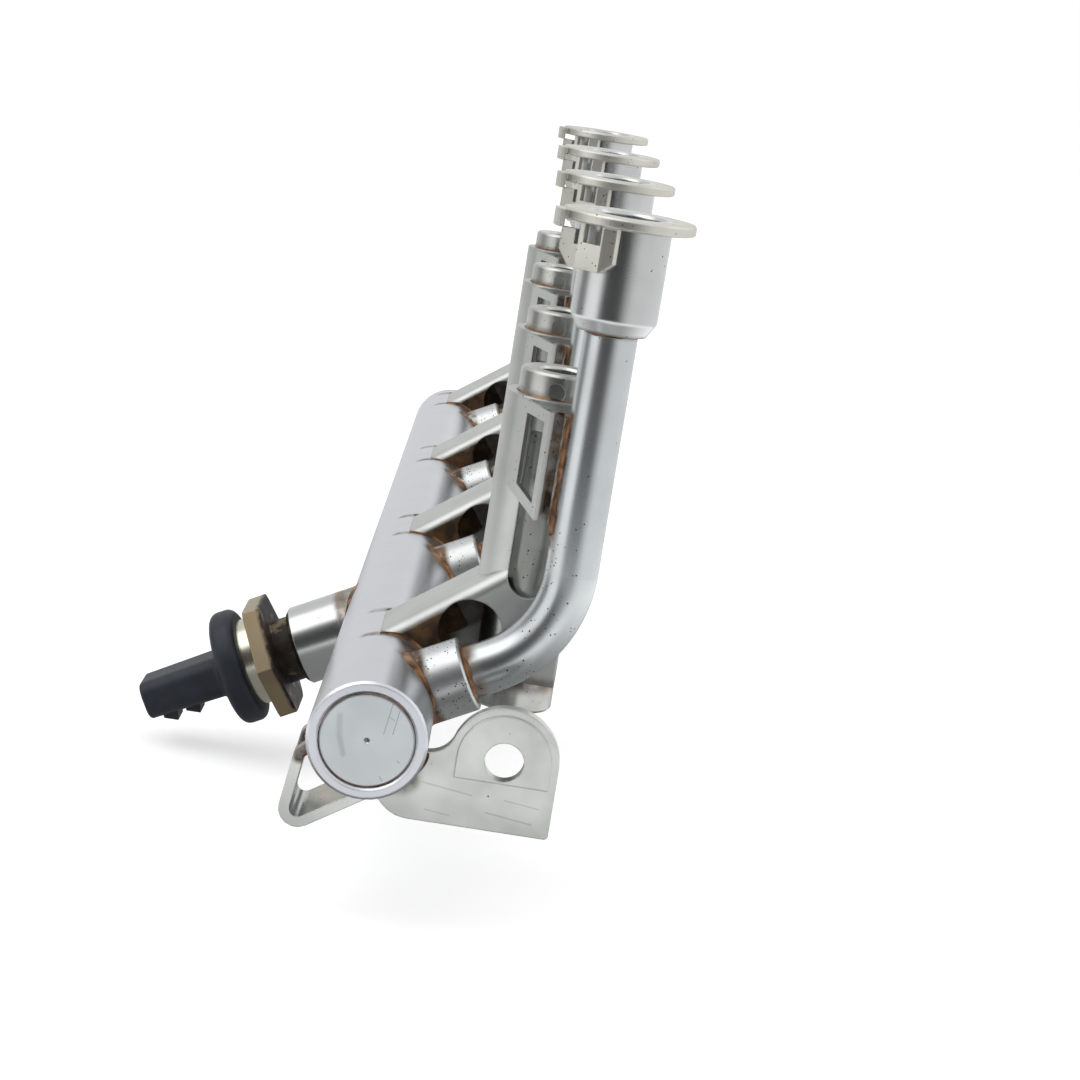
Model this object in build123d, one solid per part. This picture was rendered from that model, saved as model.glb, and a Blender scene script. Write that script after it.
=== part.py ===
from build123d import *

import math
import os

# Direct-injection fuel rail for four cylinders, brazed from steel tube, turned parts and stamped sheet.
# Millimetres. Y runs along the rail, its closed end at -Y. +Z is the injector side, where the cups open.
# The origin is the centre of the four head bolts, on the faces of their sleeves that seat on the engine.
# A "station" is a place along Y. Directions round the rail are angles from +X towards +Z.
# Outlines across the rail are drawn as (x, z) from the rail's axis.

# The engine's layout
CYLINDERS = 4
CYLINDER_PITCH = 96.0
BOLT_TO_RAIL_X = 25.0
SEAT_TO_RAIL_Z = 64.8
BOLT_TO_CUP_X = 7.0
BOLT_TO_CUP_Y = 20.5
CUP_RISE = 32.6
FIT_GAP = 0.05

# Rail tube, its plug at the closed end and its inlet at the other
RAIL_OD = 22.0
RAIL_WALL = 2.2
RAIL_NEAR_REACH = 46.0
RAIL_FAR_REACH = 18.0
RAIL_EDGE = 0.5
PLUG_LENGTH = 7.0
PLUG_SINK = 0.2
GROOVE = 0.45
CENTRE_MARK_R = 0.6
INLET_SPIGOT = 9.0
INLET_COLLAR = 4.0
INLET_COLLAR_OD = 20.0
INLET_NECK = 3.0
INLET_NECK_OD = 11.6
INLET_THREAD = 12.0
INLET_THREAD_OD = 14.0
INLET_BORE = 5.0
INLET_SEAT_R = 4.6
INLET_EDGE = 0.8

# Branch: the sleeve on the rail, the bent pipe, the injector cup
BRANCH_ANGLE = 28.0
BRANCH_OD = 14.2
BRANCH_REACH = 18.4
BRANCH_SHOULDER = 12.6
BRANCH_HOLE = 6.0
BRANCH_EDGE = 0.4
PIPE_OD = 10.0
PIPE_WALL = 1.8
PIPE_BEND_R = 22.5
CUP_OD = 16.0
CUP_BORE = 12.6
CUP_LEAD_IN = 0.5
CUP_HEIGHT = 21.4
CUP_SOCKET = 4.0
CUP_FLOOR = 1.6
CUP_HOLE = 5.0
CUP_BASE_OD = 12.8
CUP_TAPER = 2.6
CUP_SHOULDER_R = 1.6

# Stamped flange round the cup's mouth, with the folded box that holds the injector's clip
FLANGE_OD = 24.4
FLANGE_THICK = 2.0
FLANGE_EDGE = 0.3
LUG_ANGLE = 233.0
LUG_THICK = 1.2
LUG_FACE_R = 11.3
LUG_FACE_WIDTH = 6.4
LUG_ROOT_WIDTH = 13.0
LUG_HEIGHT = 8.2
LUG_CHAMFER = 2.2
LUG_SLOT_WIDTH = 3.8
LUG_SLOT_HEIGHT = 3.6
LIP_ANGLE = 190.0
LIP_WIDTH = 6.0
LIP_DROP = 1.5
LIP_THICK = 1.0

# Bolt sleeve
BOLT_SLEEVE_OD = 16.0
BOLT_BORE = 8.5
BOLT_SLEEVE_LENGTH = 66.0
BOLT_EDGE = 0.5
DIMPLE_R = 1.75
DIMPLE_DEPTH = 0.3
DIMPLE_DROP = 3.4
DIMPLE_SHIFT = 0.9

# Stamped bracket, one folded sheet that wraps the bolt sleeve and saddles the rail
SHEET = 2.0
BAND_ANGLE = 36.3
BAND_TOP_Z = 23.2
BAND_EDGE_R = 2.6
BRACKET_DROP = 4.8
BRACKET_FOOT_Z = 5.5
BRACKET_FOOT_AT_RAIL_Z = 1.0
BRACKET_LIPS_X = 7.5
WINDOW_X = 15.1
WINDOW_Z = 14.0
WINDOW_R = 6.1
SLOT_WIDTH = 8.0
SLOT_FOOT_Z = 22.0
SLOT_TOP_Z = 54.0
SLOT_SHIFT = 0.4

# Pipe support, a sheet frame that stands on the bracket and cradles the pipe
SUPPORT_SHEET = 1.2
SUPPORT_DROP = 5.2
SUPPORT_FAR_HEIGHT = 17.0
SUPPORT_NEAR_HEIGHT = 20.4
SUPPORT_BAR = 2.6
SUPPORT_FAR_BAR = 3.6
SUPPORT_TO_PIPE = 3.1
SUPPORT_SEAT_ANGLE = 232.0
CRADLE_FROM = 95.0
CRADLE_TO = 192.0
LINK_SETBACK = 2.4

# Harness bracket, a flat plate brazed to the rail behind its closed end
HARNESS_FROM_END = 6.0
HARNESS_THICK = 2.5
HARNESS_HOLE_X = 24.9
HARNESS_HOLE_Z = -1.7
HARNESS_HOLE = 7.2
HARNESS_LOBE_R = 10.0
HARNESS_FOOT_Z = -15.0
HARNESS_NECK_Z = -2.0
HARNESS_NECK_R = 5.0
HARNESS_HEEL_X = 6.2
HARNESS_HEEL_R = 7.0
HARNESS_CORNER_R = 0.8
HARNESS_PAD_INSET = 1.4
HARNESS_PAD_FOOT_Z = -5.8
HARNESS_PAD_RISE = 0.35

# Clip loop, a bent strip on the other side of the rail
LOOP_FROM_END = 3.0
LOOP_WIDTH = 16.0
LOOP_STRIP = 1.65
LOOP_HEAD = (-11.4, 1.2)
LOOP_CORNER = (-15.1, -23.2)
LOOP_TAIL = (-1.4, -13.6)
LOOP_CORNER_R = 3.5
LOOP_SLOT_Z = -5.4
LOOP_SLOT_HEIGHT = 3.6
LOOP_SLOT_MARGIN = 3.0

# Pressure sensor, opposite the branches
SENSOR_FROM_END = 100.0
PORT_OD = 17.0
PORT_REACH = 23.4
PORT_FLOOR = 15.0
PORT_EDGE = 0.8
SHANK_OD = 11.6
SHANK_CONE = 1.5
SENSOR_HOLE = 4.0
NECK_OD = 14.0
HEX_FROM = 27.3
HEX_ACROSS_FLATS = 24.0
HEX_THICK = 4.0
HEX_CHAMFER_OD = 26.4
HEX_CHAMFER = 0.9
COLLAR_OD = 19.0
COLLAR_LENGTH = 3.0
COLLAR_WALL = 1.2
BOARD_THICK = 1.0
CONNECTOR_OD = 25.0
CONNECTOR_FLANGE = 5.4
CONNECTOR_FLOOR = 9.0
CONNECTOR_EDGE = 1.6
SHROUD_LENGTH = 18.3
SHROUD_WIDTH = 17.0
SHROUD_ROOT_HEIGHT = 11.2
SHROUD_END_HEIGHT = 9.4
SHROUD_WALL = 1.3
SHROUD_CORNER_R = 1.8
RAMP_HEIGHT = 1.9
RAMP_WIDTH = 7.0
RAMP_LENGTH = 3.6
RAMP_GAP = 2.8
TERMINALS = 3
TERMINAL_PITCH = 3.8
TERMINAL_WIDTH = 1.5
TERMINAL_THICK = 0.6
TERMINAL_LENGTH = 15.2

# What follows from the values above
RAIL_X = -BOLT_TO_RAIL_X
RAIL_Z = -SEAT_TO_RAIL_Z
RAIL_R = RAIL_OD / 2
RAIL_ID = RAIL_OD - 2 * RAIL_WALL
BOLT_STATIONS = [(i - (CYLINDERS - 1) / 2) * CYLINDER_PITCH for i in range(CYLINDERS)]
NEAR_END = BOLT_STATIONS[0] - RAIL_NEAR_REACH
FAR_END = BOLT_STATIONS[-1] + RAIL_FAR_REACH
SENSOR_STATION = NEAR_END + SENSOR_FROM_END
SENSOR_ANGLE = BRANCH_ANGLE + 180
CUP_BASE_Z = CUP_RISE - CUP_HEIGHT
WRAP_R = BOLT_SLEEVE_OD / 2 + SHEET
WRAP_FIT_R = BOLT_SLEEVE_OD / 2 + FIT_GAP
COLLAR_END = HEX_FROM + HEX_THICK + COLLAR_LENGTH
SHROUD_START = COLLAR_END + CONNECTOR_FLANGE
ACROSS = 60.0


def turned(outline, plane=Plane.XY):
    """A solid of revolution about the plane's Z, from (radius, height) points."""
    profile = Plane.XZ * make_face(Polyline(*outline, close=True))
    return plane * revolve(profile, Axis.Z)


def rod(radius, start, end, plane=Plane.XY):
    """A round bar along the plane's Z, from one height to another."""
    foot = (Align.CENTER, Align.CENTER, Align.MIN)
    return plane * (Pos(0, 0, start) * Cylinder(radius, end - start, align=foot))


def along_rail(station):
    """A plane across the rail, whose Z runs along it."""
    return Plane(origin=(RAIL_X, station, RAIL_Z), x_dir=(1, 0, 0), z_dir=(0, 1, 0))


def out_of_rail(station, angle):
    """A plane whose Z leaves the rail's axis at the angle, with its X along the rail."""
    turn = math.radians(angle)
    return Plane(origin=(RAIL_X, station, RAIL_Z), x_dir=(0, 1, 0), z_dir=(math.cos(turn), 0, math.sin(turn)))


def upright(x, station, z=0.0):
    """A plane at a place in the row, whose Z is up."""
    return Plane(origin=(x, station, z), x_dir=(1, 0, 0), z_dir=(0, 0, 1))


def prism(face, station, length):
    """A face drawn across the rail, made solid along the rail from a station."""
    plane = Plane(origin=(RAIL_X, station, RAIL_Z), x_dir=(1, 0, 0), z_dir=(0, -1, 0))
    return plane * extrude(face, amount=-length)


def outline(*points):
    """A flat face from corner points."""
    return make_face(Polyline(*points, close=True))


def corner_near(shape, place):
    """The corner of a flat face that lies nearest to a place."""
    return min(shape.vertices(), key=lambda corner: (corner.center() - Vector(*place, 0)).length)


def rail_bar(radius):
    """A bar of this radius where the rail is, for the seats of what stands on it."""
    return rod(radius, 0, FAR_END - NEAR_END, along_rail(NEAR_END))


def rail_tube():
    """The tube, open at both ends, with a hole for each branch and for the sensor."""
    length = FAR_END - NEAR_END
    bore = RAIL_ID / 2
    wall = [
        (bore + GROOVE, 0),
        (RAIL_R - RAIL_EDGE, 0),
        (RAIL_R, RAIL_EDGE),
        (RAIL_R, length - RAIL_EDGE),
        (RAIL_R - RAIL_EDGE, length),
        (bore, length),
        (bore, GROOVE),
    ]
    tube = turned(wall, along_rail(NEAR_END))
    for station in BOLT_STATIONS:
        tube -= rod(BRANCH_HOLE / 2, 0, RAIL_OD, out_of_rail(station - BOLT_TO_CUP_Y, BRANCH_ANGLE))
    return tube - rod(SENSOR_HOLE / 2, 0, RAIL_OD, out_of_rail(SENSOR_STATION, SENSOR_ANGLE))


def end_plug():
    """The turned disc brazed into the closed end, with its lathe centre mark."""
    radius = RAIL_ID / 2 - FIT_GAP
    profile = [
        (0, PLUG_SINK + CENTRE_MARK_R),
        (CENTRE_MARK_R, PLUG_SINK),
        (radius - GROOVE, PLUG_SINK),
        (radius, PLUG_SINK + GROOVE),
        (radius, PLUG_LENGTH),
        (0, PLUG_LENGTH),
    ]
    return turned(profile, along_rail(NEAR_END))


def inlet_fitting():
    """The turned inlet: a spigot in the tube, a collar on its end, and a nose with a cone seat."""
    neck = INLET_COLLAR + INLET_NECK
    tip = neck + INLET_THREAD
    seat = INLET_SEAT_R - INLET_BORE / 2
    profile = [
        (INLET_BORE / 2, -INLET_SPIGOT),
        (RAIL_ID / 2 - FIT_GAP, -INLET_SPIGOT),
        (RAIL_ID / 2 - FIT_GAP, 0),
        (INLET_COLLAR_OD / 2, 0),
        (INLET_COLLAR_OD / 2, INLET_COLLAR),
        (INLET_NECK_OD / 2, INLET_COLLAR),
        (INLET_NECK_OD / 2, neck),
        (INLET_THREAD_OD / 2, neck),
        (INLET_THREAD_OD / 2, tip - INLET_EDGE),
        (INLET_THREAD_OD / 2 - INLET_EDGE, tip),
        (INLET_SEAT_R, tip),
        (INLET_BORE / 2, tip - seat * math.sqrt(3)),
    ]
    return turned(profile, along_rail(FAR_END))


def branch_sleeve(station):
    """The turned sleeve that saddles the rail and takes the pipe's end."""
    plane = out_of_rail(station, BRANCH_ANGLE)
    profile = [
        (BRANCH_HOLE / 2, 0),
        (BRANCH_OD / 2, 0),
        (BRANCH_OD / 2, BRANCH_REACH - BRANCH_EDGE),
        (BRANCH_OD / 2 - BRANCH_EDGE, BRANCH_REACH),
        (PIPE_OD / 2 + FIT_GAP + BRANCH_EDGE, BRANCH_REACH),
        (PIPE_OD / 2 + FIT_GAP, BRANCH_REACH - BRANCH_EDGE),
        (PIPE_OD / 2 + FIT_GAP, BRANCH_SHOULDER),
        (BRANCH_HOLE / 2, BRANCH_SHOULDER),
    ]
    return turned(profile, plane) - rail_bar(RAIL_R)


def branch_pipe(station):
    """The bent tube from its sleeve on the rail up into its cup."""
    turn = math.radians(BRANCH_ANGLE)
    out = Vector(math.cos(turn), 0, math.sin(turn))
    axis = Vector(RAIL_X, station, RAIL_Z)
    reach = BOLT_TO_RAIL_X + BOLT_TO_CUP_X
    start = axis + out * (BRANCH_SHOULDER + FIT_GAP)
    corner = axis + out * (reach / math.cos(turn))
    end = Vector(BOLT_TO_CUP_X, station, CUP_BASE_Z + CUP_SOCKET - FIT_GAP)
    path = FilletPolyline(start, corner, end, radius=PIPE_BEND_R)
    ring = Circle(PIPE_OD / 2) - Circle(PIPE_OD / 2 - PIPE_WALL)
    return sweep(Plane(origin=start, z_dir=out) * ring, path=path)


def injector_cup(station):
    """The turned cup: the injector's bore above, the pipe's socket below."""
    floor = CUP_SOCKET + CUP_FLOOR
    profile = [
        (PIPE_OD / 2 + FIT_GAP, 0),
        (CUP_BASE_OD / 2, 0),
        (CUP_OD / 2, CUP_TAPER),
        (CUP_OD / 2, CUP_HEIGHT),
        (CUP_BORE / 2 + CUP_LEAD_IN, CUP_HEIGHT),
        (CUP_BORE / 2, CUP_HEIGHT - CUP_LEAD_IN),
        (CUP_BORE / 2, floor),
        (CUP_HOLE / 2, floor),
        (CUP_HOLE / 2, CUP_SOCKET),
        (PIPE_OD / 2 + FIT_GAP, CUP_SOCKET),
    ]
    cup = turned(profile, upright(BOLT_TO_CUP_X, station, CUP_BASE_Z))
    rings = cup.edges().filter_by(GeomType.CIRCLE)
    shoulder = min(rings, key=lambda ring: abs(ring.radius - CUP_OD / 2) + abs(ring.center().Z - CUP_BASE_Z - CUP_TAPER))
    return fillet(shoulder, CUP_SHOULDER_R)


def clip_box(plane):
    """The folded box under the flange: three faces of sheet, with a slot for the clip and cut lower corners."""
    root = CUP_OD / 2 - LUG_THICK
    inside = LUG_FACE_R - LUG_THICK
    foot = -FLANGE_THICK - LUG_HEIGHT
    outer = outline(
        (root, -LUG_ROOT_WIDTH / 2),
        (LUG_FACE_R, -LUG_FACE_WIDTH / 2),
        (LUG_FACE_R, LUG_FACE_WIDTH / 2),
        (root, LUG_ROOT_WIDTH / 2),
    )
    inner = outline(
        (root, -LUG_ROOT_WIDTH / 2 + LUG_THICK),
        (inside, -LUG_FACE_WIDTH / 2 + LUG_THICK / 2),
        (inside, LUG_FACE_WIDTH / 2 - LUG_THICK / 2),
        (root, LUG_ROOT_WIDTH / 2 - LUG_THICK),
    )
    box = extrude(outer - inner, amount=LUG_HEIGHT + FLANGE_THICK / 2)
    slot_place = Pos(LUG_FACE_R, 0, LUG_HEIGHT - LUG_SLOT_HEIGHT / 2)
    box -= slot_place * Box(2 * LUG_THICK + LUG_THICK, LUG_SLOT_WIDTH, LUG_SLOT_HEIGHT)
    for side in (-1, 1):
        cut = Pos(0, side * LUG_ROOT_WIDTH / 2, 0) * Rot(X=45)
        box -= cut * Box(2 * FLANGE_OD, LUG_CHAMFER * math.sqrt(2), LUG_CHAMFER * math.sqrt(2))
    return plane * (Rot(Z=LUG_ANGLE) * (Pos(0, 0, foot) * box))


def flange_lip(plane):
    """The small lip folded down at the flange's edge."""
    lip = rod(FLANGE_OD / 2, -FLANGE_THICK - LIP_DROP, -FLANGE_THICK / 2)
    lip -= rod(FLANGE_OD / 2 - LIP_THICK, -FLANGE_THICK - 2 * LIP_DROP, 0)
    span = Pos(FLANGE_OD / 2, 0, 0) * Box(FLANGE_OD / 2, LIP_WIDTH, FLANGE_OD)
    return plane * (Rot(Z=LIP_ANGLE) * (lip & span))


def cup_flange(station):
    """The stamped flange, flush with the cup's mouth."""
    plane = upright(BOLT_TO_CUP_X, station, CUP_RISE)
    profile = [
        (0, -FLANGE_THICK),
        (FLANGE_OD / 2, -FLANGE_THICK),
        (FLANGE_OD / 2, -FLANGE_EDGE),
        (FLANGE_OD / 2 - FLANGE_EDGE, 0),
        (0, 0),
    ]
    flange = turned(profile, plane) + clip_box(plane) + flange_lip(plane)
    return flange - rod(CUP_OD / 2 + FIT_GAP, -FLANGE_OD, FLANGE_OD, plane)


def bolt_sleeve(station):
    """The thick tube that a head bolt clamps, with a round mark pressed in near its seat."""
    edge = BOLT_EDGE
    outer = BOLT_SLEEVE_OD / 2
    bore = BOLT_BORE / 2
    profile = [
        (bore + edge, -BOLT_SLEEVE_LENGTH),
        (outer - edge, -BOLT_SLEEVE_LENGTH),
        (outer, edge - BOLT_SLEEVE_LENGTH),
        (outer, -edge),
        (outer - edge, 0),
        (bore + edge, 0),
        (bore, -edge),
        (bore, edge - BOLT_SLEEVE_LENGTH),
    ]
    face = station - outer
    mark_plane = Plane(origin=(-DIMPLE_SHIFT, face, -DIMPLE_DROP), x_dir=(1, 0, 0), z_dir=(0, 1, 0))
    return turned(profile, upright(0, station)) - rod(DIMPLE_R, -outer, DIMPLE_DEPTH, mark_plane)


def band_line(x, drop=0.0):
    """Height of the bracket's sloping band at a distance from the rail's axis, or that far below its face."""
    slope = math.radians(BAND_ANGLE)
    corner_x = BOLT_TO_RAIL_X - WRAP_R
    return BAND_TOP_Z + (x - corner_x) * math.tan(slope) - drop / math.cos(slope)


def bracket(station):
    """The folded sheet: a wrap round the bolt sleeve, two webs and the band that joins them down to the rail."""
    foot_z = RAIL_Z + BRACKET_FOOT_Z
    wrap = rod(WRAP_R, foot_z, -BRACKET_DROP, upright(0, station))
    middle_z = (foot_z - BRACKET_DROP) / 2
    height = -BRACKET_DROP - foot_z
    wrap += Pos(BRACKET_LIPS_X / 2, station, middle_z) * Box(BRACKET_LIPS_X, 2 * WRAP_R, height)
    wedge_face = outline(
        (-RAIL_R / 2, band_line(-RAIL_R / 2)),
        (BOLT_TO_RAIL_X, band_line(BOLT_TO_RAIL_X)),
        (BOLT_TO_RAIL_X, BRACKET_FOOT_Z),
        (RAIL_R * 0.9, BRACKET_FOOT_AT_RAIL_Z),
        (0, 0),
    )
    wedge = prism(wedge_face, station - WRAP_R, 2 * WRAP_R)
    band = wedge.faces().sort_by(Axis.Z)[-1]
    long_edges = [edge for edge in band.edges() if abs(edge.tangent_at(0.5).Y) < 0.5]
    body = wrap + fillet(long_edges, BAND_EDGE_R)

    hollow_face = outline(
        (-RAIL_R, band_line(-RAIL_R, SHEET)),
        (ACROSS, band_line(ACROSS, SHEET)),
        (ACROSS, -ACROSS),
        (-RAIL_R, -ACROSS),
    )
    body -= prism(hollow_face, station - WRAP_FIT_R, 2 * WRAP_FIT_R)
    body -= rod(WRAP_FIT_R, RAIL_Z - RAIL_R, ACROSS, upright(0, station))
    body -= Pos(ACROSS / 2, station, RAIL_Z / 2) * Box(ACROSS, 2 * WRAP_FIT_R, 4 * ACROSS)
    body -= rail_bar(RAIL_R)

    window = Pos(WINDOW_X, WINDOW_Z) * Circle(WINDOW_R)
    slot_x = BOLT_TO_RAIL_X - SLOT_SHIFT
    slot_low = SLOT_FOOT_Z + SLOT_WIDTH / 2
    slot = Pos(slot_x, slot_low) * Circle(SLOT_WIDTH / 2)
    slot += Pos(slot_x, (slot_low + SLOT_TOP_Z) / 2) * Rectangle(SLOT_WIDTH, SLOT_TOP_Z - slot_low)
    return body - prism(window + slot, station - 2 * WRAP_R, 2 * WRAP_R)


def pipe_support(station):
    """The sheet frame: a windowed plate on the bracket, a link, and a cradle round the pipe's back."""
    cup_station = station - BOLT_TO_CUP_Y
    turn = math.radians(SUPPORT_SEAT_ANGLE)
    seat = Vector(WRAP_R * math.cos(turn), station + WRAP_R * math.sin(turn), -SUPPORT_DROP)
    near = Vector(BOLT_TO_CUP_X - PIPE_OD / 2 - SUPPORT_TO_PIPE - SUPPORT_SHEET, cup_station, -SUPPORT_DROP)
    run = near - seat
    across = Vector(-run.Y, run.X, 0).normalized()
    length = run.length
    overlap = 2 * SUPPORT_SHEET
    plate_face = outline(
        (-overlap, 0),
        (length, 0),
        (length, SUPPORT_NEAR_HEIGHT),
        (-overlap, SUPPORT_FAR_HEIGHT),
    )
    far_foot = SUPPORT_FAR_HEIGHT - SUPPORT_BAR
    near_foot = SUPPORT_NEAR_HEIGHT - SUPPORT_BAR
    plate_face -= outline(
        (SUPPORT_FAR_BAR, SUPPORT_BAR),
        (length - SUPPORT_BAR, SUPPORT_BAR),
        (length - SUPPORT_BAR, near_foot),
        (SUPPORT_FAR_BAR, far_foot),
    )
    plate = Plane(origin=seat, x_dir=run, z_dir=across) * extrude(plate_face, amount=SUPPORT_SHEET)
    plate -= rod(WRAP_R + FIT_GAP, -ACROSS, ACROSS, upright(0, station))

    inside = PIPE_OD / 2 + FIT_GAP
    outside = inside + SUPPORT_SHEET
    ring = Circle(outside) - Circle(inside)
    spread = math.radians(CRADLE_FROM), math.radians(CRADLE_TO)
    reach = 2 * PIPE_OD
    corners = [(reach * math.cos(angle), reach * math.sin(angle)) for angle in spread]
    sector = outline((0, 0), corners[0], (-reach, reach), corners[1])
    foot_z = -SUPPORT_DROP - SUPPORT_NEAR_HEIGHT
    cradle = extrude(ring & sector, amount=SUPPORT_NEAR_HEIGHT)
    cradle = upright(BOLT_TO_CUP_X, cup_station, foot_z) * cradle

    link_end = BOLT_TO_CUP_X - inside - SUPPORT_SHEET / 2
    link_start = near.X - SUPPORT_SHEET / 2
    link_y = cup_station + LINK_SETBACK
    link = Box(link_end - link_start, SUPPORT_SHEET, SUPPORT_NEAR_HEIGHT)
    link = Pos((link_start + link_end) / 2, link_y, foot_z + SUPPORT_NEAR_HEIGHT / 2) * link
    return plate + link + cradle


def harness_bracket():
    """The plate with an eye for the wiring's clip and a raised pad round the hole."""
    start = NEAR_END + HARNESS_FROM_END
    right = HARNESS_HOLE_X + HARNESS_LOBE_R
    lobe = Pos(HARNESS_HOLE_X, HARNESS_HOLE_Z) * Circle(HARNESS_LOBE_R)
    heel = (HARNESS_HEEL_X, HARNESS_FOOT_Z)
    low_corner = (right, HARNESS_FOOT_Z)
    body = outline(
        (0, HARNESS_NECK_Z),
        (HARNESS_HOLE_X, HARNESS_NECK_Z),
        (right, HARNESS_HOLE_Z),
        low_corner,
        heel,
        (0, -RAIL_R * 0.8),
    )
    body = fillet(corner_near(body, heel), HARNESS_HEEL_R)
    body = fillet(corner_near(body, low_corner), HARNESS_CORNER_R)
    hole = Pos(HARNESS_HOLE_X, HARNESS_HOLE_Z) * Circle(HARNESS_HOLE / 2)
    face = lobe + body
    neck = HARNESS_HOLE_X - math.sqrt(HARNESS_LOBE_R**2 - (HARNESS_NECK_Z - HARNESS_HOLE_Z) ** 2)
    face = fillet(corner_near(face, (neck, HARNESS_NECK_Z)), HARNESS_NECK_R)
    plate = prism(face - hole, start, HARNESS_THICK)
    pad_r = HARNESS_LOBE_R - HARNESS_PAD_INSET
    pad_drop = HARNESS_HOLE_Z - HARNESS_PAD_FOOT_Z
    pad = Pos(HARNESS_HOLE_X, HARNESS_HOLE_Z) * Circle(pad_r)
    pad += Pos(HARNESS_HOLE_X, HARNESS_HOLE_Z - pad_drop / 2) * Rectangle(2 * pad_r, pad_drop)
    keep = Pos(HARNESS_HOLE_X, HARNESS_PAD_FOOT_Z + ACROSS / 2) * Rectangle(2 * pad_r, ACROSS)
    plate += prism((pad & keep) - hole, start - HARNESS_PAD_RISE, HARNESS_PAD_RISE + HARNESS_THICK / 2)
    return plate - rail_bar(RAIL_R)


def inward(point, corner, other, thick):
    """A point moved by the strip's thickness, square to its line to the corner and towards the other line."""
    along = (Vector(*corner) - Vector(*point)).normalized()
    side = Vector(-along.Y, along.X, 0)
    toward = Vector(*other) - Vector(*corner)
    if side.dot(toward) < 0:
        side = side * -1
    return Vector(*point) + side * thick


def clip_loop():
    """The bent strip: two legs on the rail that meet in a round corner, with a slot in the upper leg."""
    start = NEAR_END + LOOP_FROM_END
    outer = outline(LOOP_HEAD, LOOP_CORNER, LOOP_TAIL, (0, 0))
    outer = fillet(corner_near(outer, LOOP_CORNER), LOOP_CORNER_R)
    inner_head = inward(LOOP_HEAD, LOOP_CORNER, LOOP_TAIL, LOOP_STRIP)
    inner_tail = inward(LOOP_TAIL, LOOP_CORNER, LOOP_HEAD, LOOP_STRIP)
    head_way = Vector(*LOOP_CORNER) - Vector(*LOOP_HEAD)
    tail_way = Vector(*LOOP_CORNER) - Vector(*LOOP_TAIL)
    gap = inner_tail - inner_head
    share = (gap.X * tail_way.Y - gap.Y * tail_way.X) / (head_way.X * tail_way.Y - head_way.Y * tail_way.X)
    inner_corner = inner_head + head_way * share
    inner = outline(inner_head - head_way, inner_corner, inner_tail - tail_way)
    inner = fillet(corner_near(inner, (inner_corner.X, inner_corner.Y)), LOOP_CORNER_R - LOOP_STRIP)
    loop = prism(outer - inner, start, LOOP_WIDTH) - rail_bar(RAIL_R)
    slot_length = LOOP_WIDTH - 2 * LOOP_SLOT_MARGIN
    slot = Box(RAIL_R, slot_length, LOOP_SLOT_HEIGHT)
    slot = fillet(slot.edges().filter_by(Axis.X), LOOP_SLOT_HEIGHT / 3)
    return loop - Pos(RAIL_X + LOOP_HEAD[0] - RAIL_R / 3, start + LOOP_WIDTH / 2, RAIL_Z + LOOP_SLOT_Z) * slot


def sensor_port():
    """The turned boss on the rail that the sensor screws into."""
    plane = out_of_rail(SENSOR_STATION, SENSOR_ANGLE)
    thread = SHANK_OD / 2 + FIT_GAP
    profile = [
        (SENSOR_HOLE / 2, 0),
        (PORT_OD / 2, 0),
        (PORT_OD / 2, PORT_REACH - PORT_EDGE),
        (PORT_OD / 2 - PORT_EDGE, PORT_REACH),
        (thread, PORT_REACH),
        (thread, PORT_FLOOR),
        (SENSOR_HOLE / 2, PORT_FLOOR),
    ]
    return turned(profile, plane) - rail_bar(RAIL_R)


def sensor_body():
    """The sensor's steel body: sealing cone, shank, neck, hexagon and the spigot under the collar."""
    plane = out_of_rail(SENSOR_STATION, SENSOR_ANGLE)
    spigot = COLLAR_OD / 2 - COLLAR_WALL - FIT_GAP
    hex_end = HEX_FROM + HEX_THICK
    spigot_end = COLLAR_END - BOARD_THICK - FIT_GAP
    profile = [
        (SENSOR_HOLE / 2, PORT_FLOOR),
        (SHANK_OD / 2 - SHANK_CONE, PORT_FLOOR),
        (SHANK_OD / 2, PORT_FLOOR + SHANK_CONE),
        (SHANK_OD / 2, PORT_REACH),
        (NECK_OD / 2, PORT_REACH),
        (NECK_OD / 2, HEX_FROM),
        (spigot, HEX_FROM),
        (spigot, spigot_end),
        (0, spigot_end),
        (0, hex_end - HEX_CHAMFER),
        (SENSOR_HOLE / 2, hex_end - HEX_CHAMFER),
    ]
    flats = extrude(RegularPolygon(HEX_ACROSS_FLATS / 2, 6, major_radius=False), amount=HEX_THICK)
    limit = [
        (0, HEX_FROM),
        (HEX_CHAMFER_OD / 2, HEX_FROM),
        (HEX_ACROSS_FLATS, HEX_FROM + HEX_CHAMFER * 2),
        (HEX_ACROSS_FLATS, hex_end - HEX_CHAMFER * 2),
        (HEX_CHAMFER_OD / 2, hex_end),
        (0, hex_end),
    ]
    hexagon = (Pos(0, 0, HEX_FROM) * flats) & turned(limit)
    hexagon -= rod(SENSOR_HOLE / 2, 0, hex_end - HEX_CHAMFER)
    return plane * (turned(profile) + hexagon)


def sensor_collar():
    """The light ring crimped between the hexagon and the connector."""
    plane = out_of_rail(SENSOR_STATION, SENSOR_ANGLE)
    start = HEX_FROM + HEX_THICK
    inside = COLLAR_OD / 2 - COLLAR_WALL
    profile = [
        (inside, start),
        (COLLAR_OD / 2, start),
        (COLLAR_OD / 2, COLLAR_END),
        (inside, COLLAR_END),
    ]
    return turned(profile, plane)


def sensor_board():
    """The round circuit board over the sensing cell."""
    plane = out_of_rail(SENSOR_STATION, SENSOR_ANGLE)
    radius = COLLAR_OD / 2 - COLLAR_WALL - FIT_GAP
    return rod(radius, COLLAR_END - BOARD_THICK, COLLAR_END - FIT_GAP, plane)


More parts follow.
